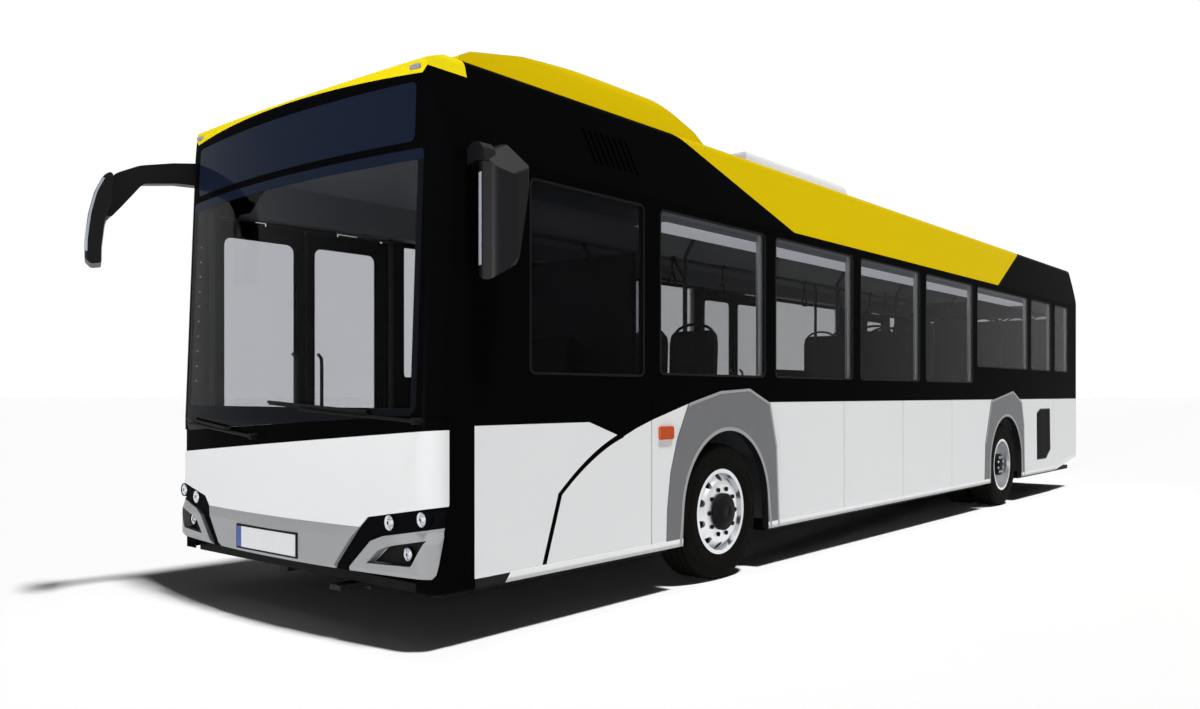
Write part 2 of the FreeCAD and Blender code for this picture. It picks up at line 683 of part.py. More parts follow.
def roof_unit():
    pts = [(UNIT_Y0, ROOF_EDGE_Z, 0), (UNIT_Y0 + 120, UNIT_TOP, 110), (UNIT_Y1 - 60, UNIT_TOP, 60),
           (UNIT_Y1, ROOF_EDGE_Z, 0)]
    side = slab(pts, plane_x(-UNIT_X), V(2 * UNIT_X, 0, 0))
    front = [(UNIT_X, ROOF_EDGE_Z, 0), (UNIT_X - 60, UNIT_TOP + 1, 90), (-UNIT_X + 60, UNIT_TOP + 1, 90),
             (-UNIT_X, ROOF_EDGE_Z, 0)]
    hump = side.common(through(front, UNIT_Y0 - 10, UNIT_Y1 + 10))
    return hump.cut(section_solid(0, CANTRAIL_Z, UNIT_Y0 - 20, UNIT_Y1 + 20))


# Rear

def rear_mass(inset):
    low = plan_wire(0, REAR_Y, REAR_CAP_Y, REAR_BOW, REAR_CORNER_R, inset)
    solid = Part.Face(low).extrude(V(0, 0, ROOF_Z + 100))
    return solid.common(section_solid(inset, 0, REAR_CAP_Y, REAR_Y + 100))


def rear_shell(outer, inner):
    return rear_mass(outer).cut(rear_mass(inner))


def hatch_pivot():
    """Axis of the hatch hinges, near the hatch's upper outer edge."""
    return REAR_Y - HINGE_IN, HATCH_TOP - HATCH_TOP_GAP - HINGE_DOWN


def rear_cutter(points, radius):
    """Cutter through the rear wall, with the outline given as seen from behind."""
    deep = REAR_Y - REAR_CORNER_R - 60
    return through(points, deep, REAR_Y + 100, radius)


def hinge_ears(side):
    """Two ears and the pin of one hatch hinge, fixed to the body."""
    y, z = hatch_pivot()
    x = side * HINGE_X
    reach = HINGE_HALF + SEAL + HINGE_EAR
    solid = tube_x(HINGE_PIN_R, x - reach, x + reach, y, z)
    for x0 in (x - reach, x + HINGE_HALF + SEAL):
        leg = box(x0, x0 + HINGE_EAR, y - HINGE_R, y + HINGE_IN / 2, z, HATCH_TOP + 30)
        solid = solid.fuse([tube_x(HINGE_R, x0, x0 + HINGE_EAR, y, z), leg])
    return solid


def hinge_knuckle(side):
    """The hatch's barrel between the ears, with its tongue."""
    y, z = hatch_pivot()
    x = side * HINGE_X
    solid = tube_x(HINGE_R, x - HINGE_HALF, x + HINGE_HALF, y, z)
    tongue = box(x - HINGE_HALF, x + HINGE_HALF, y - HINGE_R, y + HINGE_IN / 4, z - 2 * HINGE_NOTCH, z)
    return solid.fuse(tongue).cut(tube_x(HINGE_PIN_R + RUN, x - HINGE_HALF, x + HINGE_HALF, y, z))


def rear_wall():
    """Rear corner panels and end wall, with the hatch hinge ears."""
    low = [(REAR_CAP_Y, 0), (REAR_CAP_Y, tail_height(REAR_CAP_Y)), (REAR_Y + 50, tail_height(REAR_Y + 50)),
           (REAR_Y + 50, 0)]
    body = rear_shell(0, WALL).cut(slab(low, plane_x(-HALF_W - 50), V(2 * HALF_W + 100, 0, 0)))
    body = body.cut(rear_cutter(rect(-HATCH_X, HATCH_X, HATCH_LOW, HATCH_TOP), 40))
    body = body.cut(rear_cutter(rect(-REAR_WINDOW_X, REAR_WINDOW_X, REAR_WINDOW_LOW, REAR_WINDOW_TOP), 80))
    body = body.cut([rear_cutter(pts, 10) for pts in rear_lamp_outlines(0)])
    return body.fuse([hinge_ears(1), hinge_ears(-1)]).removeSplitter()


def engine_hatch():
    """Lid over the engine, hung from two hinges."""
    shut = rect(-HATCH_X + HATCH_GAP, HATCH_X - HATCH_GAP, HATCH_LOW + HATCH_GAP, HATCH_TOP - HATCH_TOP_GAP)
    hatch = rear_shell(0, HATCH_T).common(rear_cutter(shut, 40 - HATCH_GAP))
    for i in range(HATCH_SLOTS):
        z = HATCH_SLOT_Z + i * HATCH_SLOT_PITCH
        hatch = hatch.cut(box(-HATCH_SLOT_X, HATCH_SLOT_X, REAR_Y - HATCH_T / 2, REAR_Y + 10, z, z + HATCH_SLOT_H))
    y, z = hatch_pivot()
    reach = HINGE_HALF + HINGE_EAR + HATCH_GAP
    for side in (1, -1):
        x = side * HINGE_X
        notch = box(x - reach, x + reach, y - 2 * HATCH_T, y + 2 * HATCH_T, z - HINGE_NOTCH, HATCH_TOP)
        hatch = hatch.cut(notch).fuse(hinge_knuckle(side))
    return hatch.removeSplitter()


def rear_lamp_outlines(inset):
    """Two lamps above each other on each rear corner, as seen from behind."""
    x0 = HATCH_X + REAR_LAMP_IN + inset
    x1 = x0 + REAR_LAMP_W - 2 * inset
    outlines = []
    for z0, z1 in REAR_LAMP_Z:
        for side in (1, -1):
            outlines.append(rect(min(side * x0, side * x1), max(side * x0, side * x1), z0 + inset, z1 - inset))
    return outlines


def rear_lamps():
    skin = rear_shell(PANE_SET, REAR_LAMP_DEEP)
    return Part.makeCompound([skin.common(rear_cutter(pts, 10 - SEAL)) for pts in rear_lamp_outlines(SEAL)])


def rear_glass():
    skin = rear_shell(PANE_SET, PANE_SET + PANE)
    pts = rect(-REAR_WINDOW_X + SEAL, REAR_WINDOW_X - SEAL, REAR_WINDOW_LOW + SEAL, REAR_WINDOW_TOP - SEAL)
    return skin.common(rear_cutter(pts, 80 - SEAL))


# Underbody

def wheel_box(axle, box_in, t, low):
    """Block over a wheel with sloping shoulders, moved in by t; the housing is one block less a smaller one."""
    front = axle - BOX_HALF + t
    rear = axle + BOX_HALF + BOX_TAIL - t
    knee = BOX_KNEE - t / 2
    crest = BOX_TOP - t
    pts = [(front, low), (front, knee, 60), (front + BOX_SLOPE - t / 2, crest, 90),
           (rear - BOX_SLOPE + t / 2, crest, 90), (rear, knee, 60), (rear, low)]
    return slab(pts, plane_x(box_in + t), V(WALL_IN - box_in - t, 0, 0))


def floor():
    """Flat saloon floor with wheel boxes and door sills."""
    low = FLOOR_Z - FLOOR_T
    half = WALL_IN - SEAL
    base = slab(rect(-half, half, CAP_Y + 20, REAR_CAP_Y - 20), plane_z(low), V(0, 0, FLOOR_T))
    for y0, y1 in DOORS:
        base = base.fuse(box(-SIDE_X + 5, -half + 5, y0 + 2, y1 - 2, low, FLOOR_Z))
    boxes = []
    spaces = []
    for axle, box_in in ((0, BOX_IN_FRONT), (WHEELBASE, BOX_IN_REAR)):
        block = wheel_box(axle, box_in, 0, low)
        boxes += both(block.cut(box(half, HALF_W, axle - 2 * BOX_HALF, axle + 2 * BOX_HALF, 0, 2 * BOX_TOP)))
        spaces += both(wheel_box(axle, box_in, BOX_T, 0))
    nose = front_mass(WALL + SEAL).common(box(-HALF_W, HALF_W, CORNER_Y - 10, CAP_Y + 20, low, FLOOR_Z))
    solid = base.fuse(boxes + [nose, podium(0)]).cut(spaces + [podium(BOX_T)])
    return solid.removeSplitter()


def podium(inset):
    """Step under the rear bench beside the engine, moved in by an inset and open below."""
    low = FLOOR_Z - FLOOR_T if inset == 0 else 0
    return box(-WALL_IN + 70 + inset, WALL_IN - ENGINE_W - 20 - inset, DOORS[2][1] + PODIUM_OFF + inset,
               BENCH_Y - inset, low, PODIUM_TOP - inset)


def chassis_frame():
    """Two rails, cross members, tow lugs and jack pads under the floor."""
    top = FLOOR_Z - FLOOR_T
    rails = []
    for x in (-RAIL_X, RAIL_X):
        rails.append(box(x - RAIL_W / 2, x + RAIL_W / 2, CAP_Y + 40, REAR_CAP_Y + 100, RAIL_LOW, top))
    for y in CROSS_Y:
        rails.append(box(-CROSS_HALF, CROSS_HALF, y - 30, y + 30, RAIL_LOW + 10, top))
    for x in (-1, 1):
        for y in (CROSS_Y[1], CROSS_Y[-2]):
            rails.append(box(x * PAD_X - PAD / 2, x * PAD_X + PAD / 2, y - PAD / 2, y + PAD / 2, RAIL_LOW - 20, top))
    front = box(RAIL_X - 50, RAIL_X + 50, CAP_Y - 170, CAP_Y + 60, RAIL_LOW + 20, RAIL_LOW + 20 + TOW_T)
    front = front.cut(post_z(TOW_R, RAIL_X, CAP_Y - 130, 0, 500))
    rear = box(RAIL_X - 50, RAIL_X + 50, REAR_CAP_Y + 80, REAR_CAP_Y + 250, RAIL_LOW + 20, RAIL_LOW + 20 + TOW_T)
    rear = rear.cut(post_z(TOW_R, RAIL_X, REAR_CAP_Y + 210, 0, 500))
    solid = rails[0].fuse(rails[1:] + [front, rear])
    return solid.removeSplitter()


def engine_block():
    pts = rect(WALL_IN - ENGINE_W, WALL_IN - 100, WHEELBASE + ENGINE_AHEAD, REAR_CAP_Y - 100)
    return slab(pts, plane_z(FLOOR_Z), V(0, 0, ENGINE_H), 60)


# Axles, knuckles and wheels

def front_axle():
    """Dropped beam that passes under the floor and rises to the kingpin bosses."""
    under = TYRE_R - BOSS_HALF
    over = TYRE_R + BOSS_HALF
    low = [(KINGPIN_X, under), (KINGPIN_X - 75, under), (KINGPIN_X - 170, 330), (KINGPIN_X - 260, BEAM_LOW)]
    high = [(KINGPIN_X - 300, RAIL_LOW - SEAL), (KINGPIN_X - 220, 450), (KINGPIN_X - 110, over), (KINGPIN_X, over)]
    right = [(-x, z) for x, z in high]
    pts = low + [(-x, z) for x, z in reversed(low)] + list(reversed(right)) + high
    beam = slab([(x, z, 40 if abs(x) < KINGPIN_X else 0) for x, z in pts], plane_y(-BEAM_HALF),
                V(0, 2 * BEAM_HALF, 0))
    for x in (-KINGPIN_X, KINGPIN_X):
        beam = beam.fuse(post_z(BOSS_R, x, 0, TYRE_R - BOSS_HALF, TYRE_R + BOSS_HALF))
    for x in (-KINGPIN_X, KINGPIN_X):
        beam = beam.cut(post_z(KINGPIN_R + RUN, x, 0, 0, 2 * TYRE_R))
    return beam.removeSplitter()


def knuckle():
    """Left steering knuckle: kingpin, two lugs, upright and wheel spindle."""
    low = TYRE_R - BOSS_HALF - STEER_GAP
    high = TYRE_R + BOSS_HALF + STEER_GAP
    face = KINGPIN_X + BOSS_R + 8
    solid = post_z(KINGPIN_R, KINGPIN_X, 0, low - LUG_T, high + LUG_T)
    for z in (low - LUG_T, high):
        lug = [(KINGPIN_X - 50, -50, 45), (face + 30, -50, 0), (face + 30, 50, 0), (KINGPIN_X - 50, 50, 45)]
        solid = solid.fuse(slab(lug, plane_z(z), V(0, 0, LUG_T)))
    upright = [(-50, low - LUG_T, 20), (50, low - LUG_T, 20), (80, TYRE_R, 30), (50, high + LUG_T, 20),
               (-50, high + LUG_T, 20), (-80, TYRE_R, 30)]
    solid = solid.fuse(slab(upright, plane_x(face), V(30, 0, 0)))
    return solid.fuse(tube_x(SPINDLE_R, face, TYRE_OUT - 20, 0, TYRE_R)).removeSplitter()


def turned(points, y):
    """Solid turned about a wheel's axis from (x, radius) points."""
    face = Part.Face(outline(points, lambda a, b: V(a, y, TYRE_R + b)))
    return face.revolve(V(0, y, TYRE_R), V(1, 0, 0), 360)


def barrel(x0, x1):
    """Rim barrel with a flange at each end."""
    r = RIM_R - SEAL
    return [(x0, FLANGE_R), (x0 + FLANGE_W, FLANGE_R), (x0 + FLANGE_W, r), (x1 - FLANGE_W, r),
            (x1 - FLANGE_W, FLANGE_R), (x1, FLANGE_R), (x1, r - RIM_WALL), (x0, r - RIM_WALL)]


def tyre(x1, y):
    """Plain tyre that sits on the rim's flanges."""
    x0 = x1 - TYRE_W
    seat = FLANGE_R + SEAL
    pts = [(x0 + BEAD_IN, seat), (x1 - BEAD_IN, seat), (x1, BULGE_R), (x1, TYRE_R - SHOULDER_R),
           (x1 - SHOULDER, TYRE_R), (x0 + SHOULDER, TYRE_R), (x0, TYRE_R - SHOULDER_R), (x0, BULGE_R)]
    return turned(pts, y)


def vents(solid, y, x0, x1, radius):
    for i in range(VENT_COUNT):
        a = 2 * math.pi * i / VENT_COUNT
        hole = tube_x(VENT_R, x0, x1, y + radius * math.sin(a), TYRE_R + radius * math.cos(a))
        solid = solid.cut(hole)
    return solid


def front_rim():
    """Left front rim: barrel, convex disc with vents, and hub with its cap."""
    x1 = TYRE_OUT - BEAD_IN
    x0 = TYRE_OUT - TYRE_W + BEAD_IN
    out = TYRE_OUT
    disc = [(x1 - 60, RIM_R - 6), (out - 8, 218), (out, 190), (out, HUB_R - 5), (out - 14, HUB_R - 5),
            (out - 14, 186), (out - 20, 206), (x1 - 76, RIM_R - 6)]
    hub = [(KINGPIN_X + BOSS_R + 48, SPINDLE_R + RUN), (KINGPIN_X + BOSS_R + 48, HUB_R), (out + 6, HUB_R),
           (out + 16, HUB_R - 14), (out + 16, 0), (TYRE_OUT - 18, 0), (TYRE_OUT - 18, SPINDLE_R + RUN)]
    solid = turned(barrel(x0, x1), 0).fuse(vents(turned(disc, 0), 0, x0, out + 20, VENT_PCR))
    return solid.fuse(turned(hub, 0)).removeSplitter()


def rear_rim():
    """Left rear twin rims, bolted disc to disc, with the long hub."""
    x1 = TYRE_OUT - BEAD_IN
    wide = TYRE_W - 2 * BEAD_IN
    mid = TYRE_OUT - TYRE_W / 2 - TWIN_PITCH / 2
    low = x1 - TWIN_PITCH
    y = WHEELBASE
    outer = [(x1 - wide + 30, RIM_R - 6), (x1 - wide + 14, RIM_R - 6), (mid, 215), (mid, HUB_R - 5),
             (mid + 14, HUB_R - 5), (mid + 14, 208)]
    inner = [(low - 30, RIM_R - 6), (low - 14, RIM_R - 6), (mid, 215), (mid, HUB_R - 5), (mid - 14, HUB_R - 5),
             (mid - 14, 208)]
    start = PORTAL_X + PORTAL_T + HUB_GAP
    hub = [(start, REAR_SPINDLE_R + RUN), (start, HUB_R + 10), (mid + 60, HUB_R + 10), (mid + 190, HUB_R - 8),
           (mid + 190, 0), (mid + 150, 0), (mid + 150, REAR_SPINDLE_R + RUN)]
    solid = turned(barrel(x1 - wide, x1), y).fuse(turned(barrel(low - wide, low), y))
    discs = vents(turned(outer, y).fuse(turned(inner, y)), y, low - 80, x1, VENT_PCR)
    return solid.fuse([discs, turned(hub, y)]).removeSplitter()


def rear_tyres():
    return Part.makeCompound([tyre(TYRE_OUT, WHEELBASE), tyre(TYRE_OUT - TWIN_PITCH, WHEELBASE)])


def rear_axle():
    """Low portal axle: cross tube, centre casing and an upright gear casing at each end."""
    y = WHEELBASE
    top = RAIL_LOW - SEAL
    solid = tube_x(REAR_TUBE_R, -PORTAL_X - 10, PORTAL_X + 10, y, top - REAR_TUBE_R)
    casing = [(-160, top - 90, 40), (160, top - 90, 40), (160, top, 30), (-160, top, 30)]
    solid = solid.fuse(slab([(x + 180, z, r) for x, z, r in casing], plane_y(y - 150), V(0, 300, 0)))
    portal = [(y - 80, 110, 60), (y + 80, 110, 60), (y + 130, TYRE_R, 90), (y + 80, 600, 60),
              (y - 80, 600, 60), (y - 130, TYRE_R, 90)]
    end = slab(portal, plane_x(PORTAL_X), V(PORTAL_T, 0, 0))
    spindle = tube_x(REAR_SPINDLE_R, PORTAL_X + 65, TYRE_OUT - TYRE_W / 2 - TWIN_PITCH / 2 + 145, y, TYRE_R)
    return solid.fuse(both(end) + both(spindle)).removeSplitter()


# Doors

def leaf_place(jamb, way):
    """Map from (distance from the jamb, inward distance, height) to the bus."""
    return lambda s, n, z: V(-(LEAF_X - n), jamb + way * s, z)


def door_post(jamb, way):
    """Turning post with one arm above and one below the leaf, each ending in a pin."""
    at = leaf_place(jamb, way)
    foot = at(-POST_BACK, POST_IN, FLOOR_Z + SEAL)
    solid = post_z(POST_R, foot.x, foot.y, FLOOR_Z + SEAL, CANTRAIL_Z - SEAL)
    tip = at(ARM_L - POST_BACK, POST_IN, 0)
    for z0, pin0, pin1 in ((LEAF_LOW - ARM_GAP - ARM_T, LEAF_LOW - ARM_GAP, LEAF_LOW + DOOR_LUG_T),
                           (LEAF_TOP + ARM_GAP, LEAF_TOP - DOOR_LUG_T, LEAF_TOP + ARM_GAP)):
        arm = box(foot.x - ARM_HALF, foot.x + ARM_HALF, min(foot.y, tip.y), max(foot.y, tip.y), z0, z0 + ARM_T)
        eye = post_z(ARM_HALF + 4, tip.x, tip.y, z0, z0 + ARM_T)
        solid = solid.fuse([arm, eye, post_z(DOOR_PIN_R, tip.x, tip.y, pin0, pin1)])
    return solid.removeSplitter()


def leaf_span(jamb, other):
    """Jamb edge and meeting edge of a leaf, as distances from its jamb."""
    return JAMB_GAP, abs(other - jamb) / 2 - MEET_GAP / 2


def door_leaf(jamb, other, way):
    """Framed leaf with lugs at top and bottom for the arms' pins."""
    at = leaf_place(jamb, way)
    s0, s1 = leaf_span(jamb, other)

    def place(s, z):
        return at(s, -LEAF_T / 2, z)
    frame = slab(rect(s0, s1, LEAF_LOW, LEAF_TOP), place, V(LEAF_T, 0, 0), 12)
    glass = rect(s0 + LEAF_BORDER, s1 - LEAF_BORDER, LEAF_LOW + 1.4 * LEAF_BORDER, LEAF_TOP - 1.4 * LEAF_BORDER)
    frame = frame.cut(slab(glass, lambda s, z: at(s, -LEAF_T, z), V(2 * LEAF_T, 0, 0), LEAF_GLASS_R))
    pin = at(ARM_L - POST_BACK, POST_IN, 0)
    inner = at(0, LEAF_T / 2, 0).x
    for z0 in (LEAF_LOW, LEAF_TOP - DOOR_LUG_T):
        lug = [(inner - 5, pin.y - 60, 0), (inner - 5, pin.y + 60, 0), (pin.x + 20, pin.y + 22, 18),
               (pin.x + 20, pin.y - 22, 18)]
        frame = frame.fuse(slab(lug, plane_z(z0), V(0, 0, DOOR_LUG_T)))
        frame = frame.cut(post_z(DOOR_PIN_R + RUN, pin.x, pin.y, z0 - 10, z0 + DOOR_LUG_T + 10))
    return frame.removeSplitter()


def door_pane(jamb, other, way):
    at = leaf_place(jamb, way)
    s0, s1 = leaf_span(jamb, other)
    pts = rect(s0 + LEAF_BORDER + SEAL, s1 - LEAF_BORDER - SEAL, LEAF_LOW + 1.4 * LEAF_BORDER + SEAL,
               LEAF_TOP - 1.4 * LEAF_BORDER - SEAL)
    out = -LEAF_T / 2 + PANE_SET
    return slab(pts, lambda s, z: at(s, out, z), V(LEAF_PANE, 0, 0), LEAF_GLASS_R - SEAL)


# Cabin

def seat(x, y, top, stand):
    """One forward-facing seat: bent shell with a back that widens upwards, on a foot."""
    z = top - SEAT_TALL
    side = [(0, z - 60, 0), (-SEAT_DEEP, z - 40, 0), (-SEAT_DEEP, z, 20), (-50, z, 60), (0, top, 0),
            (45, top, 0), (50, z - 60, 0)]
    shell = slab([(y - 50 + a, b, r) for a, b, r in side], plane_x(x - SEAT_W / 2), V(SEAT_W, 0, 0))
    half = SEAT_W / 2
    front = [(x - half + 25, z - 60, 0), (x + half - 25, z - 60, 0), (x + half, top - 110, 0),
             (x + half - 15, top, 90), (x - half + 15, top, 90), (x - half, top - 110, 0)]
    shell = shell.common(through(front, y - 2 * SEAT_DEEP, y + SEAT_DEEP))
    foot = box(x - 110, x + 110, y - 230, y - 70, stand + SEAL, z - 50)
    return shell.fuse(foot).removeSplitter()


def seats():
    return Part.makeCompound([seat(*place) for place in SEATS + BENCH])


def bent_pole(x, y, lean):
    """Pole from the floor that bends outwards near the ceiling."""
    top = V(x + lean * POLE_BEND, y, CEILING_Z - CEILING_T - 60)
    knee = V(x, y, POLE_BEND_Z)
    bend = top - knee
    solid = post_z(POLE_R, x, y, FLOOR_Z + SEAL, POLE_BEND_Z)
    upper = Part.makeCylinder(POLE_R, bend.Length, knee, bend)
    return solid.fuse(upper)


def rail(x, poles):
    """A row of poles joined by a rail under the ceiling."""
    lean = 1 if x > 0 else -1
    bar = Part.makeCylinder(POLE_R * 0.8, poles[-1] - poles[0], V(x, poles[0], RAIL_Z), V(0, 1, 0))
    return bar.fuse([bent_pole(x, y, lean) for y in poles]).removeSplitter()


def grab_rails():
    """Poles and rails along the aisle, and two single poles at the doors."""
    singles = [post_z(POLE_R, x, y, FLOOR_Z + SEAL, CEILING_Z - CEILING_T - 60) for x, y in REAR_POLES]
    return Part.makeCompound([rail(RAIL_X_LEFT, LEFT_POLES), rail(RAIL_X_RIGHT, RIGHT_POLES)] + singles)


def ceiling():
    """Inner lining with sloping coves, a duct along the left windows and flat flanges over the doors."""
    t = CEILING_T
    low = CANTRAIL_Z
    flange = WALL_IN - SEAL
    ridge = WALL_IN - 400
    duct = [(WALL_IN - a, b) for a, b in DUCT]
    pts = [(flange, low)] + duct + [(ridge, CEILING_Z - 60), (-ridge, CEILING_Z - 60), (-WALL_IN + 140, low),
                                    (-flange, low), (-flange, low + t), (-WALL_IN + 148, low + t),
                                    (-ridge + 8, CEILING_Z - 40), (ridge - 8, CEILING_Z - 40),
                                    (WALL_IN - 148, low + t), (flange, low + t)]
    return slab(pts, plane_y(HEAD_Y + 60), V(0, REAR_CAP_Y - HEAD_Y - 100, 0))


def steering_wheel():
    """Column with a flat ring and one cross spoke, leaning towards the driver."""
    lean = V(0, STEER_LEAN[0], STEER_LEAN[1]).normalize()
    foot = V(DRIVER_X, STEER_FOOT[0], STEER_FOOT[1])
    hub = foot + lean * STEER_COLUMN
    column = Part.makeCylinder(30, STEER_COLUMN + 24, foot, lean)
    ring = Part.makeCylinder(STEER_R, 24, hub, lean).cut(Part.makeCylinder(STEER_R - 28, 24, hub, lean))
    spoke = Part.makeCylinder(9, 2 * STEER_R - 20, hub + lean * 12 - V(STEER_R - 10, 0, 0), V(1, 0, 0))
    return column.fuse([ring, spoke])


def driver_cab():
    """Raised platform, dashboard and the wall behind the driver."""
    out = WALL_IN - SEAL
    low = FLOOR_Z + SEAL
    platform = box(CAB_IN, out, CAP_Y + 30, CAB_WALL_Y, low, CAB_FLOOR)
    desk = [(CAP_Y - 130, CAB_FLOOR, 0), (CAP_Y + 270, CAB_FLOOR, 0), (CAP_Y + 270, 980, 60),
            (CAP_Y + 120, 1130, 60), (CAP_Y - 130, 1060, 0)]
    desk = slab(desk, plane_x(CAB_IN + 50), V(out - CAB_IN - 130, 0, 0))
    wall = [(CAB_WALL_Y, low, 0), (CAB_WALL_Y + 40, low, 0), (CAB_WALL_Y + 40, 2200, 15), (CAB_WALL_Y, 2200, 15)]
    wall = slab(wall, plane_x(CAB_IN), V(out - CAB_IN, 0, 0))
    return platform.fuse([desk, wall, steering_wheel()]).removeSplitter()


def driver_seat():
    z = CAB_FLOOR
    y = CAB_WALL_Y
    foot = box(DRIVER_X - 120, DRIVER_X + 120, y - 650, y - 350, z + SEAL, z + 300)
    pts = [(y - 780, z + 300, 40), (y - 780, z + 420, 40), (y - 340, z + 420, 60), (y - 270, z + 1150, 50),
           (y - 170, z + 1150, 50), (y - 240, z + 300, 40)]
    return foot.fuse(slab(pts, plane_x(DRIVER_X - SEAT_W / 2 - 20), V(SEAT_W + 40, 0, 0))).removeSplitter()


# Lamps, mirrors and wipers

def front_face(x):
    """Where the bowed front stands at this distance from the middle."""
    big = (SIDE_X * SIDE_X + FRONT_BOW * FRONT_BOW) / (2 * FRONT_BOW)
    return FRONT_Y + big - math.sqrt(big * big - x * x)


def lamps():
    """Two head lamps and one fog lamp on each side."""
    parts = []
    for off, z, r, deep in LAMPS:
        x = SIDE_X - off
        parts += both(Part.makeCylinder(r, LAMP_DEEP, V(x, front_face(x) + deep, z), V(0, 1, 0)))
    return parts


def mirror_left():
    """Left mirror: short arm from the front pillar and a hanging head whose top slopes forward and outward."""
    out = MIRROR_OUT
    front = CORNER_Y + MIRROR_LEFT_BACK
    deep = MIRROR_LEFT_PLAN[3][1]
    head = slab(MIRROR_LEFT_FRONT, lambda a, z: V(out - a, front, z), V(0, deep, deep * MIRROR_LEFT_RISE))
    plan = slab(MIRROR_LEFT_PLAN, lambda a, b: V(out - a, CORNER_Y + b, 0), V(0, 0, ROOF_Z))
    side = slab(MIRROR_LEFT_SIDE, lambda b, z: V(WALL_IN, CORNER_Y + b, z), V(out, 0, 0))
    arm_y = HEAD_Y - MIRROR_LEFT_ARM_W - 5
    arm = slab(MIRROR_LEFT_ARM, lambda a, z: V(out - a, arm_y, z), V(0, MIRROR_LEFT_ARM_W, 0))
    return head.common(plan).common(side).fuse(arm).cut(front_mass(0)).removeSplitter()


def mirror_right():
    """Right mirror: a long drooping arm that reaches forward to a head turned towards the driver."""
    root = V(MIRROR_SPREAD_IN - SIDE_X, CORNER_Y - MIRROR_ROOT, 0)
    tip = V(MIRROR_HEAD_OUT - MIRROR_OUT, MIRROR_FRONT + MIRROR_HEAD_IN, 0)
    reach = tip - root
    ahead = V(reach).normalize()
    out = V(ahead.y, -ahead.x, 0)
    turn = math.radians(MIRROR_TURN)
    inward = V(math.cos(turn), -math.sin(turn), 0)
    fore = V(-math.sin(turn), -math.cos(turn), 0)
    arm = slab(MIRROR_ARM, lambda a, z: root + reach * a + V(0, 0, z) - out * MIRROR_ARM_HALF,
               out * (2 * MIRROR_ARM_HALF))
    head = slab(MIRROR_HEAD, lambda a, z: tip + fore * a + V(0, 0, z) - inward * MIRROR_FAR,
                inward * (MIRROR_FAR + MIRROR_NEAR))
    spread = max(p[0] for p in MIRROR_HEAD)
    plan = [(x, y, MIRROR_EDGE_R) for x, y in rect(-MIRROR_FAR, MIRROR_NEAR, -3 * spread, spread)]
    head = head.common(slab(plan, lambda a, b: tip + inward * a + fore * b, V(0, 0, ROOF_Z)))
    solid = arm.fuse(head).common(box(-MIRROR_OUT, 0, MIRROR_FRONT, 0, 0, ROOF_Z))
    return solid.cut(front_mass(0)).removeSplitter()


def wipers():
    """Two arms on short spindles in the band under the windscreen."""
    parts = []
    for x, z, tip_x, tip_z in WIPERS:
        a = V(x, front_face(x) - WIPER_OFF, z)
        b = V(tip_x, front_face(tip_x) - WIPER_OFF, tip_z)
        arm = Part.makeCylinder(WIPER_R, a.distanceToPoint(b), a, b - a)
        spindle = Part.makeCylinder(2 * WIPER_R, 3 * WIPER_OFF, V(x, a.y - WIPER_R, z), V(0, 1, 0))
        parts.append(arm.fuse(spindle).cut(front_mass(BAND_SET)).removeSplitter())
    return Part.makeCompound(parts)


# Everything, node by node

def doors(nodes):
    for number, (front, rear) in enumerate(DOORS, 1):
        for name, jamb, other, way in (("front", front, rear, 1), ("rear", rear, front, -1)):
            stem = "door_%d_%s" % (number, name)
            nodes[stem + "_post"] = door_post(jamb, way)
            nodes[stem + "_leaf"] = door_leaf(jamb, other, way)
            nodes[stem + "_glass"] = door_pane(jamb, other, way)


def wheels(nodes):
    nodes["knuckle_left"] = knuckle()
    nodes["rim_front_left"] = front_rim()
    nodes["tyre_front_left"] = tyre(TYRE_OUT, 0)
    nodes["rim_rear_left"] = rear_rim()
    nodes["tyres_rear_left"] = rear_tyres()
    for name in ("knuckle", "rim_front", "tyre_front", "rim_rear", "tyres_rear"):
        nodes[name + "_right"] = mirrored(nodes[name + "_left"])


def build():
    nodes = {}
    frame, panel, bumper, housing, screen = front_cap()
    nodes["front_frame"] = frame
    nodes["front_panel"] = panel
    nodes["windscreen"] = screen
    nodes["rear_body"] = rear_wall()
    nodes["engine_hatch"] = engine_hatch()
    skirt_left, wall_left, skirt_right, wall_right = sides()
    nodes["skirt_left"] = skirt_left
    nodes["window_wall_left"] = wall_left
    nodes["skirt_right"] = skirt_right
    nodes["window_wall_right"] = wall_right
    nodes["window_glass"] = Part.makeCompound(side_glass() + [rear_glass()])
    nodes["arch_trims"] = arch_trims()
    nodes["side_grille"] = side_grille()
    nodes["rear_lamps"] = rear_lamps()
    nodes["roof"] = roof()
    nodes["roof_fairing"] = roof_fairing()
    nodes["roof_unit"] = roof_unit()
    lamp_parts = lamps()
    nodes["front_bumper"] = Part.makeCompound([piece.cut(lamp_parts) for piece in bumper])
    nodes["lamp_housings"] = Part.makeCompound([piece.cut(lamp_parts) for piece in housing])
    nodes["lamps"] = Part.makeCompound(lamp_parts)
    nodes["mirrors"] = Part.makeCompound([mirror_left(), mirror_right()])
    nodes["wipers"] = wipers()
    nodes["floor"] = floor()
    nodes["chassis_frame"] = chassis_frame()
    nodes["engine_block"] = engine_block()
    nodes["front_axle"] = front_axle()
    nodes["rear_axle"] = rear_axle()
    nodes["seats"] = seats()
    nodes["grab_rails"] = grab_rails()
    nodes["ceiling"] = ceiling()
    nodes["driver_cab"] = driver_cab()
    nodes["driver_seat"] = driver_seat()
    doors(nodes)
    wheels(nodes)
    return nodes


def main():
    os.makedirs("parts", exist_ok=True)
    for name, shape in build().items():
        moved = shape.copy()
        moved.translate(V(0, -ORIGIN_Y, 0))
        moved.exportStep("parts/%s.step" % name)


main()
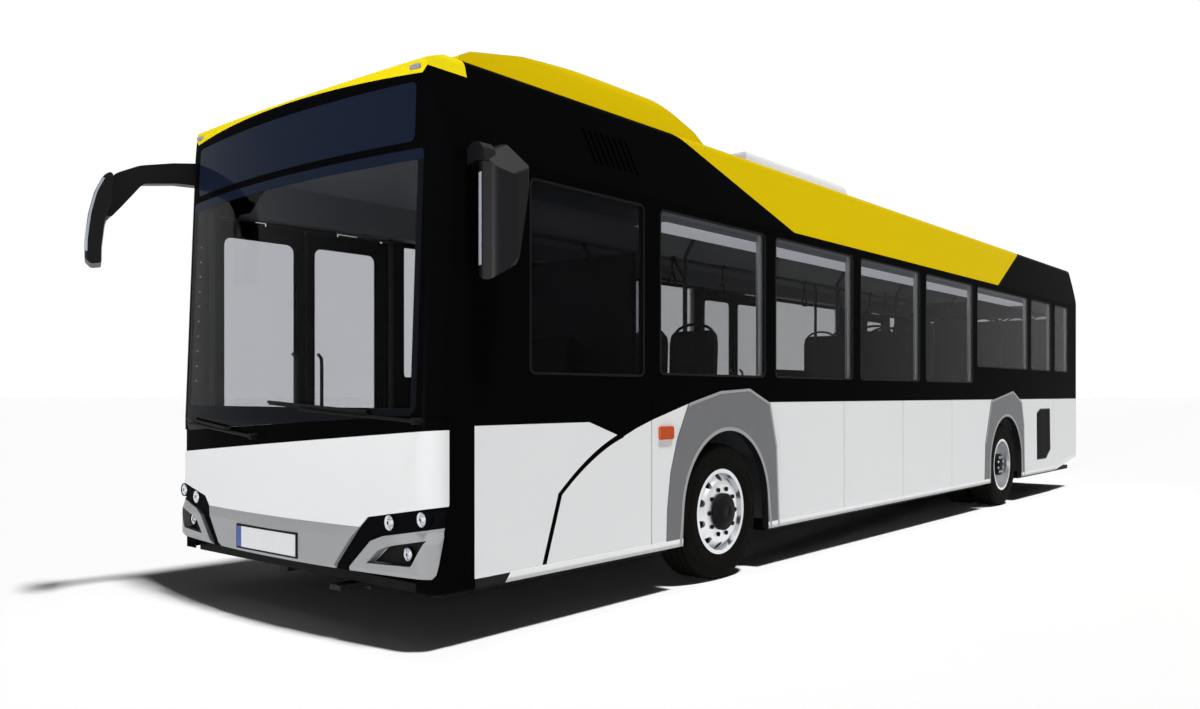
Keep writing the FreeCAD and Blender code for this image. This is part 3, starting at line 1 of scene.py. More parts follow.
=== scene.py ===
import math

import bmesh
import bpy
from mathutils import Matrix, Vector
from mathutils.bvhtree import BVHTree


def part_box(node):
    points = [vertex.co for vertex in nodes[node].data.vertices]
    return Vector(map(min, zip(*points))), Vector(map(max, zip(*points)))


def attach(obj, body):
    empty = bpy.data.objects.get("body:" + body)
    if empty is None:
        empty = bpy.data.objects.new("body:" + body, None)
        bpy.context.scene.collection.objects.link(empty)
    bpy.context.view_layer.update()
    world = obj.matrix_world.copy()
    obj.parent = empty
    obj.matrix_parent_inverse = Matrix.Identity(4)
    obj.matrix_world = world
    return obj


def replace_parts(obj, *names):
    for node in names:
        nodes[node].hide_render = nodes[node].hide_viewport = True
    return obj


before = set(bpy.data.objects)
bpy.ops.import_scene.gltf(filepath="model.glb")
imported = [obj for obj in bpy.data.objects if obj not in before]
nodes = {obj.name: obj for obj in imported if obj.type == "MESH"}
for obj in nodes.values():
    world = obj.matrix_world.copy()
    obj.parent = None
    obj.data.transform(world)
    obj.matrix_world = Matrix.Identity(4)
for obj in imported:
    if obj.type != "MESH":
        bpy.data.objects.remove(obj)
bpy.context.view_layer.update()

# Lengths are in metres. Every y here is written from the front axle, which stands at AXLE in
# the frame; the rear axle's y is REAR_AXLE.
AXLE = -2.98
REAR_AXLE = 6.04
SIDES = ((1, "left"), (-1, "right"))

# Body: half its width, the y of the front's foremost point, how far the front's sides lie
# behind it, the radius of that bow, and the belt over the white panels
SIDE = 1.270
FRONT = -2.775
BOW = 0.11
BOW_R = (SIDE ** 2 + BOW ** 2) / (2 * BOW)
BELT = 1.246

# Moulding along the side panels' foot: its top, its face, the middle of its painted highlight
# above and painted shade below and the height over which they blend, and the line along which
# the foot rises at the tail
FOOT_TOP = 0.348
FOOT_FACE = 1.2705
FOOT_MIDDLE = 0.312
FOOT_BLEND = 0.014
TAIL_FOOT = ((8.112, 0.330), (9.256, 0.480))

# Front number plate: x of both ends, low and high edge; width of its blue strip
PLATE = (-0.335, 0.275, 0.41, 0.53)
PLATE_STRIP = 0.05

# Colours

WHITE = (0.755, 0.762, 0.768)
YELLOW = (0.665, 0.480, 0.003)
# Lighter copy of the roof's yellow for the brow: painted highlight
BROW_HIGHLIGHT_YELLOW = (0.84, 0.68, 0.009)
BLACK = (0.0022, 0.0023, 0.0026)
NAVY = (0.0075, 0.0125, 0.026)
UNDERSIDE = (0.004, 0.004, 0.0045)
CORNER_FOOT = (0.02, 0.02, 0.021)
SEAM_GREY = (0.10, 0.10, 0.105)
ARCH_GREY = (0.160, 0.162, 0.168)
BUMPER_GREY = (0.315, 0.32, 0.33)
# The foot moulding's painted shade below and painted highlight above, paler than the white
# paint
FOOT_SHADE = (0.50, 0.505, 0.51)
FOOT_HIGHLIGHT = (0.83, 0.835, 0.84)
VINYL = (0.10, 0.105, 0.115)
SCREEN_TINT = (0.645, 0.66, 0.69)
SCREEN_BORDER = (0.0055, 0.0065, 0.009)
DOT_GREY = (0.30, 0.33, 0.38)
LEFT_TINT = (0.42, 0.425, 0.435)
DRIVER_TINT = (0.16, 0.165, 0.19)
RIGHT_TINT = (0.68, 0.685, 0.69)
DOOR_TINT = (0.655, 0.66, 0.67)
AMBER = (0.50, 0.060, 0.001)
RED = (0.34, 0.006, 0.006)
PLATE_WHITE = (0.66, 0.67, 0.68)
PLATE_BLUE = (0.01, 0.06, 0.32)
FLOOR_WHITE = (0.945, 0.945, 0.945)

# Shader helpers

def rgba(colour):
    return (*colour[:3], 1)

class NodeTree:
    """Adds and links the nodes of one shader."""

    def __init__(self, tree):
        self.nodes = tree.nodes
        self.links = tree.links

    def put(self, socket, value):
        if isinstance(value, bpy.types.NodeSocket):
            self.links.new(value, socket)
        else:
            socket.default_value = value

    def math(self, kind, a, b=0.0):
        node = self.nodes.new("ShaderNodeMath")
        node.operation = kind
        self.put(node.inputs[0], a)
        self.put(node.inputs[1], b)
        return node.outputs[0]

    def add(self, a, b):
        return self.math("ADD", a, b)

    def minus(self, a, b):
        return self.math("SUBTRACT", a, b)

    def times(self, a, b):
        return self.math("MULTIPLY", a, b)

    def less(self, a, b):
        return self.math("LESS_THAN", a, b)

    def more(self, a, b):
        return self.math("GREATER_THAN", a, b)

    def both(self, a, b):
        """The smaller value, which is one only where both are."""
        return self.math("MINIMUM", a, b)

    def either(self, a, b):
        """The larger value, which is one where either is."""
        return self.math("MAXIMUM", a, b)

    def unsigned(self, a):
        return self.math("ABSOLUTE", a)

class Look(NodeTree):
    """Builds one material; x, y and z are the place on the object, in the frame."""

    def __init__(self, name):
        self.material = bpy.data.materials.new(name)
        self.material.use_nodes = True
        super().__init__(self.material.node_tree)
        self.shader = self.nodes["Principled BSDF"]
        place = self.nodes.new("ShaderNodeTexCoord")
        self.at = place.outputs["Object"]
        split = self.nodes.new("ShaderNodeSeparateXYZ")
        self.links.new(self.at, split.inputs[0])
        self.x, self.y, self.z = split.outputs

    def slant(self, value, zero, slope):
        """Straight line over a value, from its height where the value is 0."""
        return self.add(self.times(value, slope), zero)

    def line(self, a, b):
        """Height of the line through two (y, z) points, at this y."""
        slope = (b[1] - a[1]) / (b[0] - a[0])
        return self.slant(self.y, a[1] - slope * (a[0] + AXLE), slope)

    def ridge(self, path, top):
        """Height of the lowest of the lines through a row of (y, z) points, at most top."""
        height = top
        for a, b in zip(path, path[1:]):
            height = self.both(self.line(a, b), height)
        return height

    def between(self, value, low, high):
        return self.both(self.more(value, low), self.less(value, high))

    def noise(self, scale, detail=3.0):
        node = self.nodes.new("ShaderNodeTexNoise")
        node.inputs["Scale"].default_value = scale
        node.inputs["Detail"].default_value = detail
        self.links.new(self.at, node.inputs["Vector"])
        return node.outputs["Fac"]

    def wander(self, middle, scale, amount):
        """A value that wanders a little round its middle over the surface."""
        return self.slant(self.noise(scale), middle - amount / 2, amount)

    def mix(self, share, a, b):
        """Colour a where the share is 0, colour b where it is 1."""
        node = self.nodes.new("ShaderNodeMix")
        node.data_type = "RGBA"
        self.put(node.inputs["Factor"], share)
        for slot, colour in ((6, a), (7, b)):
            is_socket = isinstance(colour, bpy.types.NodeSocket)
            self.put(node.inputs[slot], colour if is_socket else rgba(colour))
        return node.outputs[2]

    def spread(self, colour, amount, scale):
        """The colour with faint patches lighter and darker."""
        low = [c * (1 - amount) for c in colour]
        high = [min(1, c * (1 + amount)) for c in colour]
        return self.mix(self.noise(scale, 4), low, high)

    def bump(self, height, strength, distance):
        node = self.nodes.new("ShaderNodeBump")
        node.inputs["Strength"].default_value = strength
        node.inputs["Distance"].default_value = distance
        self.links.new(height, node.inputs["Height"])
        self.links.new(node.outputs[0], self.shader.inputs["Normal"])

    def set(self, **values):
        for name, value in values.items():
            self.put(self.shader.inputs[name.replace("_", " ")], value)
        return self.material

# Finishes

PAINT_IOR = 1.02
GLASS_IOR = 1.08

def gloss(look, colour, rough=0.25, ior=PAINT_IOR):
    """Smooth paint with a faint peel; the low index keeps black deep under a white sky."""
    look.bump(look.noise(700, 2), 0.03, 0.0004)
    return look.set(Base_Color=colour, Roughness=look.wander(rough, 3.0, 0.06), IOR=ior)

def paint(name, colour, rough=0.25, ior=PAINT_IOR):
    look = Look(name)
    return gloss(look, look.spread(colour, 0.025, 0.9), rough, ior)

def grained(look):
    """Fine grain of moulded plastic."""
    look.bump(look.noise(1800), 0.12, 0.0004)

def plastic(name, colour, rough=0.45, shine=0.12):
    look = Look(name)
    grained(look)
    return look.set(Base_Color=look.spread(colour, 0.06, 12.0),
                    Roughness=look.wander(rough, 40.0, 0.1), Specular_IOR_Level=shine)

def metal(name, colour, rough=0.3):
    look = Look(name)
    look.bump(look.noise(300, 4), 0.08, 0.0003)
    return look.set(Base_Color=look.spread(colour, 0.07, 9.0), Metallic=1.0,
                    Roughness=look.wander(rough, 25.0, 0.14))

def hazed(look, haze, tint):
    """The tint, a little darker in faint clouds."""
    return look.mix(haze, [c * 0.97 for c in tint], tint)

def pane(look, haze, colour, clear=1.0, ior=GLASS_IOR):
    """Finish of a pane that is seen through where clear is one."""
    return look.set(Base_Color=colour, Transmission_Weight=clear, IOR=ior,
                    Roughness=look.times(haze, 0.012))

def glass(name, tint, ior=GLASS_IOR):
    """Clear or tinted glass with a faint haze."""
    look = Look(name)
    haze = look.noise(2.5)
    return pane(look, haze, hazed(look, haze, tint), ior=ior)

def glow(name, colour, strength):
    """Pale diffuser that shines a little by itself."""
    look = Look(name)
    tint = look.spread(colour, 0.03, 5.0)
    return look.set(Base_Color=tint, Roughness=0.6, Emission_Color=tint,
                    Emission_Strength=strength)

FLUTE_SCALE = 25.4777

def lens(name, colour):
    """Coloured lamp plastic with fine upright flutes."""
    look = Look(name)
    wave = look.nodes.new("ShaderNodeTexWave")
    wave.bands_direction = "Y"
    wave.inputs["Scale"].default_value = FLUTE_SCALE
    look.links.new(look.at, wave.inputs["Vector"])
    look.bump(wave.outputs["Fac"], 0.3, 0.0008)
    return look.set(Base_Color=look.spread(colour, 0.08, 20.0), Roughness=0.15, IOR=1.2,
                    Coat_Weight=0.05)

def mirror_face():
    look = Look("mirror_face")
    return look.set(Base_Color=look.spread((0.75, 0.77, 0.8), 0.03, 6.0), Metallic=1.0,
                    Roughness=0.03)

# Liveries

# The driver's window lies ahead of this y, on the left.
DRIVER_WINDOW = -0.85

def side_glass():
    """Side windows: dark tint on the left, light on the right, nearly black by the driver."""
    look = Look("side_glass")
    haze = look.noise(2.5)
    near = hazed(look, haze, LEFT_TINT)
    far = hazed(look, haze, RIGHT_TINT)
    tint = look.mix(look.less(look.x, 0), near, far)
    driver = look.both(look.less(look.y, DRIVER_WINDOW + AXLE), look.more(look.x, 0))
    return pane(look, haze, look.mix(driver, tint, DRIVER_TINT))

# Roof: the coves lie outside FLANK. Black starts below two slants and at the coves' foot.
FLANK = 1.118
FRONT_SLANT = ((-0.39, 3.06), (1.006, 2.568))
TAIL_SLANT = ((5.804, 2.574), (6.98, 3.09))
COVE_FOOT = 2.571

def roof_paint():
    """Yellow roof with black front coves and a black tail."""
    look = Look("roof_livery")
    cove = look.more(look.unsigned(look.x), FLANK)
    ahead = look.both(cove, look.less(look.z, look.line(*FRONT_SLANT)))
    behind = look.less(look.z, look.line(*TAIL_SLANT))
    dark = look.either(look.less(look.z, COVE_FOOT), look.either(ahead, behind))
    return gloss(look, look.mix(dark, look.spread(YELLOW, 0.02, 0.8), BLACK))

# Brow: the height of its lower edge in the middle, how fast that falls with x squared, and the
# x of its end at a height, with the end's lean
BROW_EDGE = 2.974
BROW_FALL = 0.024
BROW_END_X = 1.135
BROW_END_Z = 2.94
BROW_LEAN = 0.9

def front_paint():
    """Black front with a yellow brow that ends at the corners; the brow's yellow is a lighter
    copy of the roof's, a painted highlight.
    """
    look = Look("front_livery")
    ax = look.unsigned(look.x)
    edge = look.minus(BROW_EDGE, look.times(look.times(ax, ax), BROW_FALL))
    end = look.slant(look.add(look.z, -BROW_END_Z), BROW_END_X, BROW_LEAN)
    brow = look.both(look.more(look.z, edge), look.less(ax, end))
    # The brow takes the lighter yellow, a painted highlight.
    return gloss(look, look.mix(brow, BLACK, look.spread(BROW_HIGHLIGHT_YELLOW, 0.02, 0.8)))

# White side panels: where they start; their upper edge, which dips to the stripe by the driver
# and rises to the front arch; the x of their seams' floor; the front corner's foot, which leans
WHITE_START = -2.378
DIP = ((-1.466, 1.141), (-1.203, 1.057))
DIP_TOP = 1.141
RISE = ((-1.189, 1.029), (-1.014, 1.093), (-0.85, 1.142), (-0.43, 1.247))
RISE_TOP = 1.30
SEAM_FLOOR = 1.2685
CORNER_END = -2.40
CORNER_LEAN = 0.8

def skirt_paint():
    """White panels, black ahead of them and over the slanting line by the driver."""
    look = Look("skirt_livery")
    ax = look.unsigned(look.x)
    top = look.either(look.ridge(DIP, DIP_TOP), look.ridge(RISE, RISE_TOP))
    white = look.both(look.less(look.z, top), look.more(look.y, WHITE_START + AXLE))
    stripe = look.both(side_stripe(look), look.more(look.x, 0))
    white = look.both(white, look.minus(1.0, stripe))
    panel = look.mix(look.less(ax, SEAM_FLOOR), look.spread(WHITE, 0.012, 0.7), SEAM_GREY)
    # The foot's moulding gets its painted highlight over painted shade; the rising tail foot
    # gets the painted highlight alone.
    foot = look.both(look.less(look.z, FOOT_TOP), look.more(ax, FOOT_FACE))
    panel = look.mix(foot, panel, foot_highlight_and_shade(look))
    tail = look.both(look.less(look.z, look.line(*TAIL_FOOT)),
                     look.more(look.y, TAIL_FOOT[0][0] + AXLE))
    panel = look.mix(tail, panel, FOOT_HIGHLIGHT)
    corner = look.less(look.y, look.slant(look.z, CORNER_END + AXLE, CORNER_LEAN))
    panel = look.mix(look.both(foot, corner), panel, CORNER_FOOT)
    return gloss(look, look.mix(white, BLACK, panel))

def foot_highlight_and_shade(look):
    """Light grey moulding along the foot: its upper half paler as a painted highlight, its
    lower half grey as painted shade.
    """
    high = look.times(look.add(look.z, -FOOT_MIDDLE), 1 / FOOT_BLEND)
    return look.mix(look.both(look.either(high, 0.0), 1.0), FOOT_SHADE, FOOT_HIGHLIGHT)

# Stripe: half its width; the upper run's ends and four times its bulge over a straight line;
# the lower run's lean; the y and z that the two runs span, a little past the kink
STRIPE_HALF = 0.016
STRIPE_KINK = (-1.72, 0.735)
STRIPE_TOP = (-1.17, 1.05)
STRIPE_BULGE = 0.14
STRIPE_LEAN = 0.343
STRIPE_UPPER = (-1.74, -1.14)
STRIPE_LOWER = (0.352, 0.745)

def side_stripe(look):
    """Black stripe that curves down from the driver's window and kinks towards the foot."""
    y, z = STRIPE_KINK
    share = look.times(look.add(look.y, -y - AXLE), 1 / (STRIPE_TOP[0] - y))
    bulge = look.times(look.times(share, look.minus(1.0, share)), STRIPE_BULGE)
    height = look.add(look.line(STRIPE_KINK, STRIPE_TOP), bulge)
    off = look.unsigned(look.minus(look.z, height))
    upper = look.both(look.less(off, STRIPE_HALF * 1.15),
                      look.between(look.y, STRIPE_UPPER[0] + AXLE, STRIPE_UPPER[1] + AXLE))
    foot = look.slant(look.add(look.z, -z), y + AXLE, STRIPE_LEAN)
    off = look.unsigned(look.minus(look.y, foot))
    lower = look.both(look.less(off, STRIPE_HALF * 1.1), look.between(look.z, *STRIPE_LOWER))
    return look.either(upper, lower)

# The rear's flanks lie outside this x.
TAIL_FLANK = 1.235

def tail_paint():
    """Black rear with flanks that are white below the belt and pale along the rising foot, a
    painted highlight.
    """
    look = Look("tail_livery")
    flank = look.both(look.more(look.unsigned(look.x), TAIL_FLANK), look.less(look.z, BELT))
    foot = look.less(look.z, look.line(*TAIL_FOOT))
    panel = look.mix(foot, look.spread(WHITE, 0.012, 0.7), FOOT_HIGHLIGHT)
    return gloss(look, look.mix(flank, BLACK, panel))

# The arch trims' inner sides lie inside this x.
ARCH_INSIDE = 1.2735

def arch_plastic():
    """Grey wheel arch trim whose foot has the moulding's painted highlight over its painted
    shade; black inside the arch.
    """
    look = Look("arch_plastic")
    grained(look)
    grey = look.spread(ARCH_GREY, 0.06, 12.0)
    trim = look.mix(look.less(look.z, FOOT_TOP), grey, foot_highlight_and_shade(look))
    inside = look.less(look.unsigned(look.x), ARCH_INSIDE)
    return look.set(Base_Color=look.mix(inside, trim, UNDERSIDE), Roughness=0.5,
                    Specular_IOR_Level=0.10)

# Fog lamps' pockets: their low edge and their depth; the upper edge's z over |x|, and the inner
# and outer edge's |x| over z, each as its value where the other is 0 and its slope
POCKET_LOW = 0.4345
POCKET_DEPTH = 0.012
POCKET_TOP = (0.347, 0.185)
POCKET_INNER = (0.308, 1.25)
POCKET_OUTER = (0.877, 0.62)

def bumper_paint():
    """Grey bumper with a black pocket round each fog lamp."""
    look = Look("bumper_livery")
    ax = look.unsigned(look.x)
    level = look.both(look.less(look.z, look.slant(ax, *POCKET_TOP)),
                      look.more(look.z, POCKET_LOW))
    across = look.both(look.more(ax, look.slant(look.z, *POCKET_INNER)),
                       look.less(ax, look.slant(look.z, *POCKET_OUTER)))
    face = look.slant(look.times(look.x, look.x), FRONT + AXLE, 1 / (2 * BOW_R))
    deep = look.more(look.y, look.add(face, POCKET_DEPTH))
    pocket = look.both(look.both(level, across), deep)
    return gloss(look, look.mix(pocket, look.spread(BUMPER_GREY, 0.03, 6.0), BLACK), 0.4, 1.2)

# Windscreen's printed border: half the clear width, its low and high edge. Dots: their x, their
# pitch and radius, and the lowest and highest
CLEAR_HALF = 1.125
CLEAR_LOW = 1.235
CLEAR_HIGH = 2.50
DOT_X = -1.02
DOT_PITCH = 0.096
DOT_R = 0.005
DOT_ROW = (1.30, 2.30)

def screen_glass():
    """Windscreen and display pane with a dark border, navy at the top, and a row of dots."""
    look = Look("front_glass")
    high = look.more(look.z, CLEAR_HIGH)
    level = look.either(look.less(look.z, CLEAR_LOW), high)
    edge = look.either(look.more(look.unsigned(look.x), CLEAR_HALF), level)
    row = look.add(look.math("FRACT", look.times(look.z, 1 / DOT_PITCH)), -0.5)
    up = look.times(row, DOT_PITCH)
    across = look.add(look.x, -DOT_X)
    far = look.math("SQRT", look.add(look.times(up, up), look.times(across, across)))
    dot = look.both(look.less(far, DOT_R), look.between(look.z, *DOT_ROW))
    haze = look.noise(2.5)
    border = look.mix(high, SCREEN_BORDER, NAVY)
    framed = look.mix(edge, hazed(look, haze, SCREEN_TINT), border)
    clear = look.minus(1.0, look.either(edge, dot))
    return pane(look, haze, look.mix(dot, framed, DOT_GREY), clear)

def plate_paint():
    """Blank white plates; the front one has a blue strip at one end."""
    look = Look("blank_plate")
    blue = look.less(look.x, PLATE[0] + PLATE_STRIP)
    return look.set(Base_Color=look.mix(blue, look.spread(PLATE_WHITE, 0.03, 14.0), PLATE_BLUE),
                    Roughness=0.35)

# The floor's underside lies below this height.
FLOOR_LOW = 0.36

def floor_vinyl():
    """Grey vinyl above, black coat below the floor."""
    look = Look("floor_vinyl")
    grained(look)
    below = look.less(look.z, FLOOR_LOW)
    return look.set(Base_Color=look.mix(below, look.spread(VINYL, 0.06, 12.0), UNDERSIDE),
                    Roughness=0.6, Specular_IOR_Level=0.08)

MATERIALS = {
    "white": paint("white_paint", WHITE),
    "black": paint("black_paint", BLACK),
    "roof": roof_paint(),
    "front": front_paint(),
    "skirt": skirt_paint(),
    "tail": tail_paint(),
    "bumper": bumper_paint(),
    "arch": arch_plastic(),
    "unit": paint("unit_paint", (0.74, 0.75, 0.76), 0.4),
    "glass": side_glass(),
    "door_glass": glass("door_glass", DOOR_TINT),
    "screen": screen_glass(),
    "lamp": glass("lamp_glass", (0.93, 0.94, 0.95), 1.4),
    "chrome": metal("lamp_chrome", (0.80, 0.81, 0.83), 0.12),
    "bulb": glow("lamp_bulb", (0.85, 0.9, 0.92), 0.25),
    "amber": lens("amber_lens", AMBER),
    "red": lens("red_lens", RED),
    "trim": paint("trim_black", (0.004, 0.0042, 0.0048), 0.3),
    "marker": plastic("marker_grey", (0.30, 0.31, 0.33), 0.4),
    # Pale grey of the arch bands: painted highlight on the trim's bevelled edges
    "edge": paint("arch_edge_highlight", (0.33, 0.335, 0.345), 0.35, 1.2),
    "plate": plate_paint(),
    "mirror": mirror_face(),
    "pale": plastic("pale_trim", (0.28, 0.285, 0.30), 0.4),
    "diffuser": glow("light_diffuser", (0.72, 0.72, 0.76), 0.80),
    "alloy": metal("window_alloy", (0.75, 0.76, 0.78), 0.45),
    "board": plastic("display_board", NAVY, 0.6),
    "grille": plastic("grille_black", (0.005, 0.005, 0.006), 0.5),
    "mirror_shell": plastic("mirror_shell", (0.006, 0.006, 0.007), 0.4),
    "rubber": plastic("black_rubber", (0.006, 0.006, 0.0065), 0.55, 0.06),
    "floor": floor_vinyl(),
    "chassis": plastic("chassis_coat", (0.018, 0.018, 0.02), 0.6),
    "iron": metal("engine_iron", (0.10, 0.10, 0.105), 0.5),
    "steel": metal("bright_steel", (0.62, 0.63, 0.65), 0.28),
    "pole": plastic("pole_coat", (0.035, 0.037, 0.042), 0.35),
    "seat": plastic("seat_shell", (0.012, 0.013, 0.017), 0.55),
    "ceiling": plastic("ceiling_panel", (0.20, 0.207, 0.22), 0.5),
    "cab": plastic("cab_plastic", (0.022, 0.023, 0.026), 0.5),
    "rim": metal("rim_silver", (0.78, 0.79, 0.81), 0.35),
    "tyre": plastic("tyre_rubber", (0.0042, 0.0040, 0.0033), 0.75, 0.03),
    # Bluish grey of the mirror heads' edges: painted reflection of the sky
    "strip": plastic("mirror_edge_reflection", (0.34, 0.37, 0.42), 0.35),
}

# Dress of the CAD nodes, by name, or else by how the name starts or ends

DRESS = {
    "front_frame": "front", "front_panel": "white", "front_bumper": "bumper",
    "windscreen": "screen", "rear_body": "tail", "engine_hatch": "white",
    "lamp_housings": "trim", "side_grille": "grille", "rear_lamps": "red",
    "skirt_left": "skirt", "skirt_right": "skirt", "window_wall_left": "black",
    "window_wall_right": "black", "window_glass": "glass", "arch_trims": "arch",
    "roof": "roof", "roof_fairing": "roof", "roof_unit": "unit", "lamps": "lamp",
    "mirrors": "mirror_shell", "wipers": "rubber", "floor": "floor",
    "chassis_frame": "chassis", "engine_block": "iron", "front_axle": "chassis",
    "rear_axle": "chassis", "seats": "seat", "grab_rails": "pole", "ceiling": "ceiling",
    "driver_cab": "cab", "driver_seat": "seat"}
DRESS_BY_START = {"rim": "rim", "tyre": "tyre", "knuckle": "chassis"}
DRESS_BY_END = {"_post": "pole", "_leaf": "black", "_glass": "door_glass"}

def material_key(node):
    if node in DRESS:
        return DRESS[node]
    for start, key in DRESS_BY_START.items():
        if node.startswith(start):
            return key
    for end, key in DRESS_BY_END.items():
        if node.endswith(end):
            return key

def dress(node, key):
    """Gives every slot of a CAD node one material."""
    mesh = nodes[node].data
    if not mesh.materials:
        mesh.materials.append(None)
    for i in range(len(mesh.materials)):
        mesh.materials[i] = MATERIALS[key]

for node in nodes:
    dress(node, material_key(node))

# Mesh helpers

def placed(name, data):
    """A new object in the scene."""
    thing = bpy.data.objects.new(name, data)
    bpy.context.scene.collection.objects.link(thing)
    return thing

def piece(name, verts, faces, key, body="root", smooth=False, bevel=0.0):
    mesh = bpy.data.meshes.new(name)
    mesh.from_pydata(verts, [], faces)
    mesh.update()
    made = bmesh.new()
    made.from_mesh(mesh)
    bmesh.ops.recalc_face_normals(made, faces=made.faces)
    made.to_mesh(mesh)
    made.free()
    thing = placed(name, mesh)
    mesh.materials.append(MATERIALS[key])
    if smooth:
        for face in mesh.polygons:
            face.use_smooth = True
    if bevel:
        mod = thing.modifiers.new("edge", "BEVEL")
        mod.width = bevel
        mod.segments = 2
        mod.limit_method = "ANGLE"
    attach(thing, body)
    return thing

def prism(name, loops, key, body="root", bevel=0.0, smooth=False, closed=True):
    """Skin through a row of equal loops; the ends are capped unless the row closes."""
    count = len(loops[0])
    verts = [v for loop in loops for v in loop]
    faces = []
    rows = len(loops) if closed else len(loops) - 1
    for i in range(rows):
        a = i * count
        b = ((i + 1) % len(loops)) * count
        for j in range(count):
            k = (j + 1) % count
            faces.append((a + j, a + k, b + k, b + j))
    if not closed:
        faces.append(tuple(range(count)))
        faces.append(tuple(range((len(loops) - 1) * count, len(loops) * count)))
    return piece(name, verts, faces, key, body, smooth, bevel)

def block(name, low, high, key, body="root", bevel=0.003):
    x0, y0, z0 = low
    x1, y1, z1 = high
    ring = [(x0, y0), (x1, y0), (x1, y1), (x0, y1)]
    loops = [[(x, y, z) for x, y in ring] for z in (z0, z1)]
    return prism(name, loops, key, body, bevel, closed=False)

def merge(name, things):
    """Joins several like pieces on one body into one object."""
    made = bmesh.new()
    for thing in things:
        made.from_mesh(thing.data)
    mesh = bpy.data.meshes.new(name)
    made.to_mesh(mesh)
    made.free()
    keep = things[0]
    mesh.materials.append(keep.data.materials[0])
    for thing in things[1:]:
        bpy.data.objects.remove(thing)
    keep.data = mesh
    keep.name = name
    return keep

def tube(name, points, radius, key, body="root", sides=10, closed=False):
    """Round rod along points."""
    loops = []
    last = len(points) - 1
    for i, point in enumerate(points):
        here = Vector(point)
        back = Vector(points[i - 1] if i > 0 or closed else point)
        ahead = Vector(points[(i + 1) % len(points)] if i < last or closed else point)
        along = (ahead - back).normalized()
        side = along.orthogonal() if i == 0 else (side - along * side.dot(along))
        side.normalize()
        up = along.cross(side)
        loops.append([tuple(here + (side * math.cos(a) + up * math.sin(a)) * radius)
                      for a in (2 * math.pi * k / sides for k in range(sides))])
    return prism(name, loops, key, body, smooth=True, closed=closed)

def rectangle(u0, u1, v0, v1):
    return [(u0, v0), (u0, v1), (u1, v1), (u1, v0)]

def arc(a, b, c, steps):
    """Points of the clockwise arc through three (u, v) points."""
    d = 2 * (a[0] * (b[1] - c[1]) + b[0] * (c[1] - a[1]) + c[0] * (a[1] - b[1]))
    sq = [p[0] ** 2 + p[1] ** 2 for p in (a, b, c)]
    u = (sq[0] * (b[1] - c[1]) + sq[1] * (c[1] - a[1]) + sq[2] * (a[1] - b[1])) / d
    v = (sq[0] * (c[0] - b[0]) + sq[1] * (a[0] - c[0]) + sq[2] * (b[0] - a[0])) / d
    r = math.dist((u, v), a)
    start, middle, end = (math.atan2(p[1] - v, p[0] - u) for p in (a, b, c))
    while middle > start:
        middle -= 2 * math.pi
    while end > middle:
        end -= 2 * math.pi
    turns = (start + (end - start) * i / steps for i in range(steps + 1))
    return [(u + r * math.cos(t), v + r * math.sin(t)) for t in turns]

def rounded(points, radius, steps=6, closed=True):
    """Points with each corner rounded by an arc."""
    out = []
    for i, point in enumerate(points):
        if not closed and i in (0, len(points) - 1):
            out.append(point)
            continue
        here = Vector(point)
        one = Vector(points[i - 1]) - here
        two = Vector(points[(i + 1) % len(points)]) - here
        half = one.angle(two) / 2
        reach = min(radius / math.tan(half), 0.45 * one.length, 0.45 * two.length)
        middle = (one.normalized() + two.normalized()).normalized()
        centre = here + middle * reach / math.cos(half)
        start = here + one.normalized() * reach - centre
        end = here + two.normalized() * reach - centre
        turn = start.angle_signed(end)
        for k in range(steps + 1):
            spoke = start.copy()
            spoke.rotate(Matrix.Rotation(-turn * k / steps, 2))
            out.append(tuple(centre + spoke))
    return out

def band(name, path, width, x0, x1, key, body="root", closed=False, bevel=0.003):
    """Flat strip to the right of a (y, z) path on the bus's side."""
    loops = []
    last = len(path) - 1
    for i, (y, z) in enumerate(path):
        back = Vector(path[i - 1] if i > 0 or closed else path[i])
        ahead = Vector(path[(i + 1) % len(path)] if i < last or closed else path[i])
        along = (ahead - back).normalized()
        in_y = y + along.y * width
        in_z = z - along.x * width
        loops.append([(x0, y + AXLE, z), (x1, y + AXLE, z),
                      (x1, in_y + AXLE, in_z), (x0, in_y + AXLE, in_z)])
    return prism(name, loops, key, body, bevel, closed=closed)

def islands(node):
    """(lowest, highest corner) of each separate solid of a CAD node."""
    made = bmesh.new()
    made.from_mesh(nodes[node].data)
    bmesh.ops.remove_doubles(made, verts=made.verts, dist=1e-6)
    made.verts.ensure_lookup_table()
    seen = set()
    boxes = []
    for start in made.verts:
        if start.index in seen:
            continue
        seen.add(start.index)
        stack = [start]
        low = start.co.copy()
        high = start.co.copy()
        while stack:
            vert = stack.pop()
            for k in range(3):
                low[k] = min(low[k], vert.co[k])
                high[k] = max(high[k], vert.co[k])
            for edge in vert.link_edges:
                other = edge.other_vert(vert)
                if other.index not in seen:
                    seen.add(other.index)
                    stack.append(other)
        boxes.append((low, high))
    made.free()
    return boxes

# Sides: window seals and alloy strips, painted highlights along the arch edges, indicators

# The side panes' middles lie outside PANE_X; the driver's starts ahead of DRIVER_PANE. Seals:
# their corners' radius, their width and their faces
PANE_X = 1.15
DRIVER_PANE = -1.5
PANE_R = 0.045
SEAL_WIDTH = 0.014
SEAL_X = (1.2635, 1.2708)

# Alloy strip inside each pane's rear end: its faces, its edges' distances from the pane's end,
# and its distance from the pane's top and bottom
STRIP_X = (1.228, 1.252)
STRIP_Y = (0.075, 0.012)
STRIP_GAP = 0.004

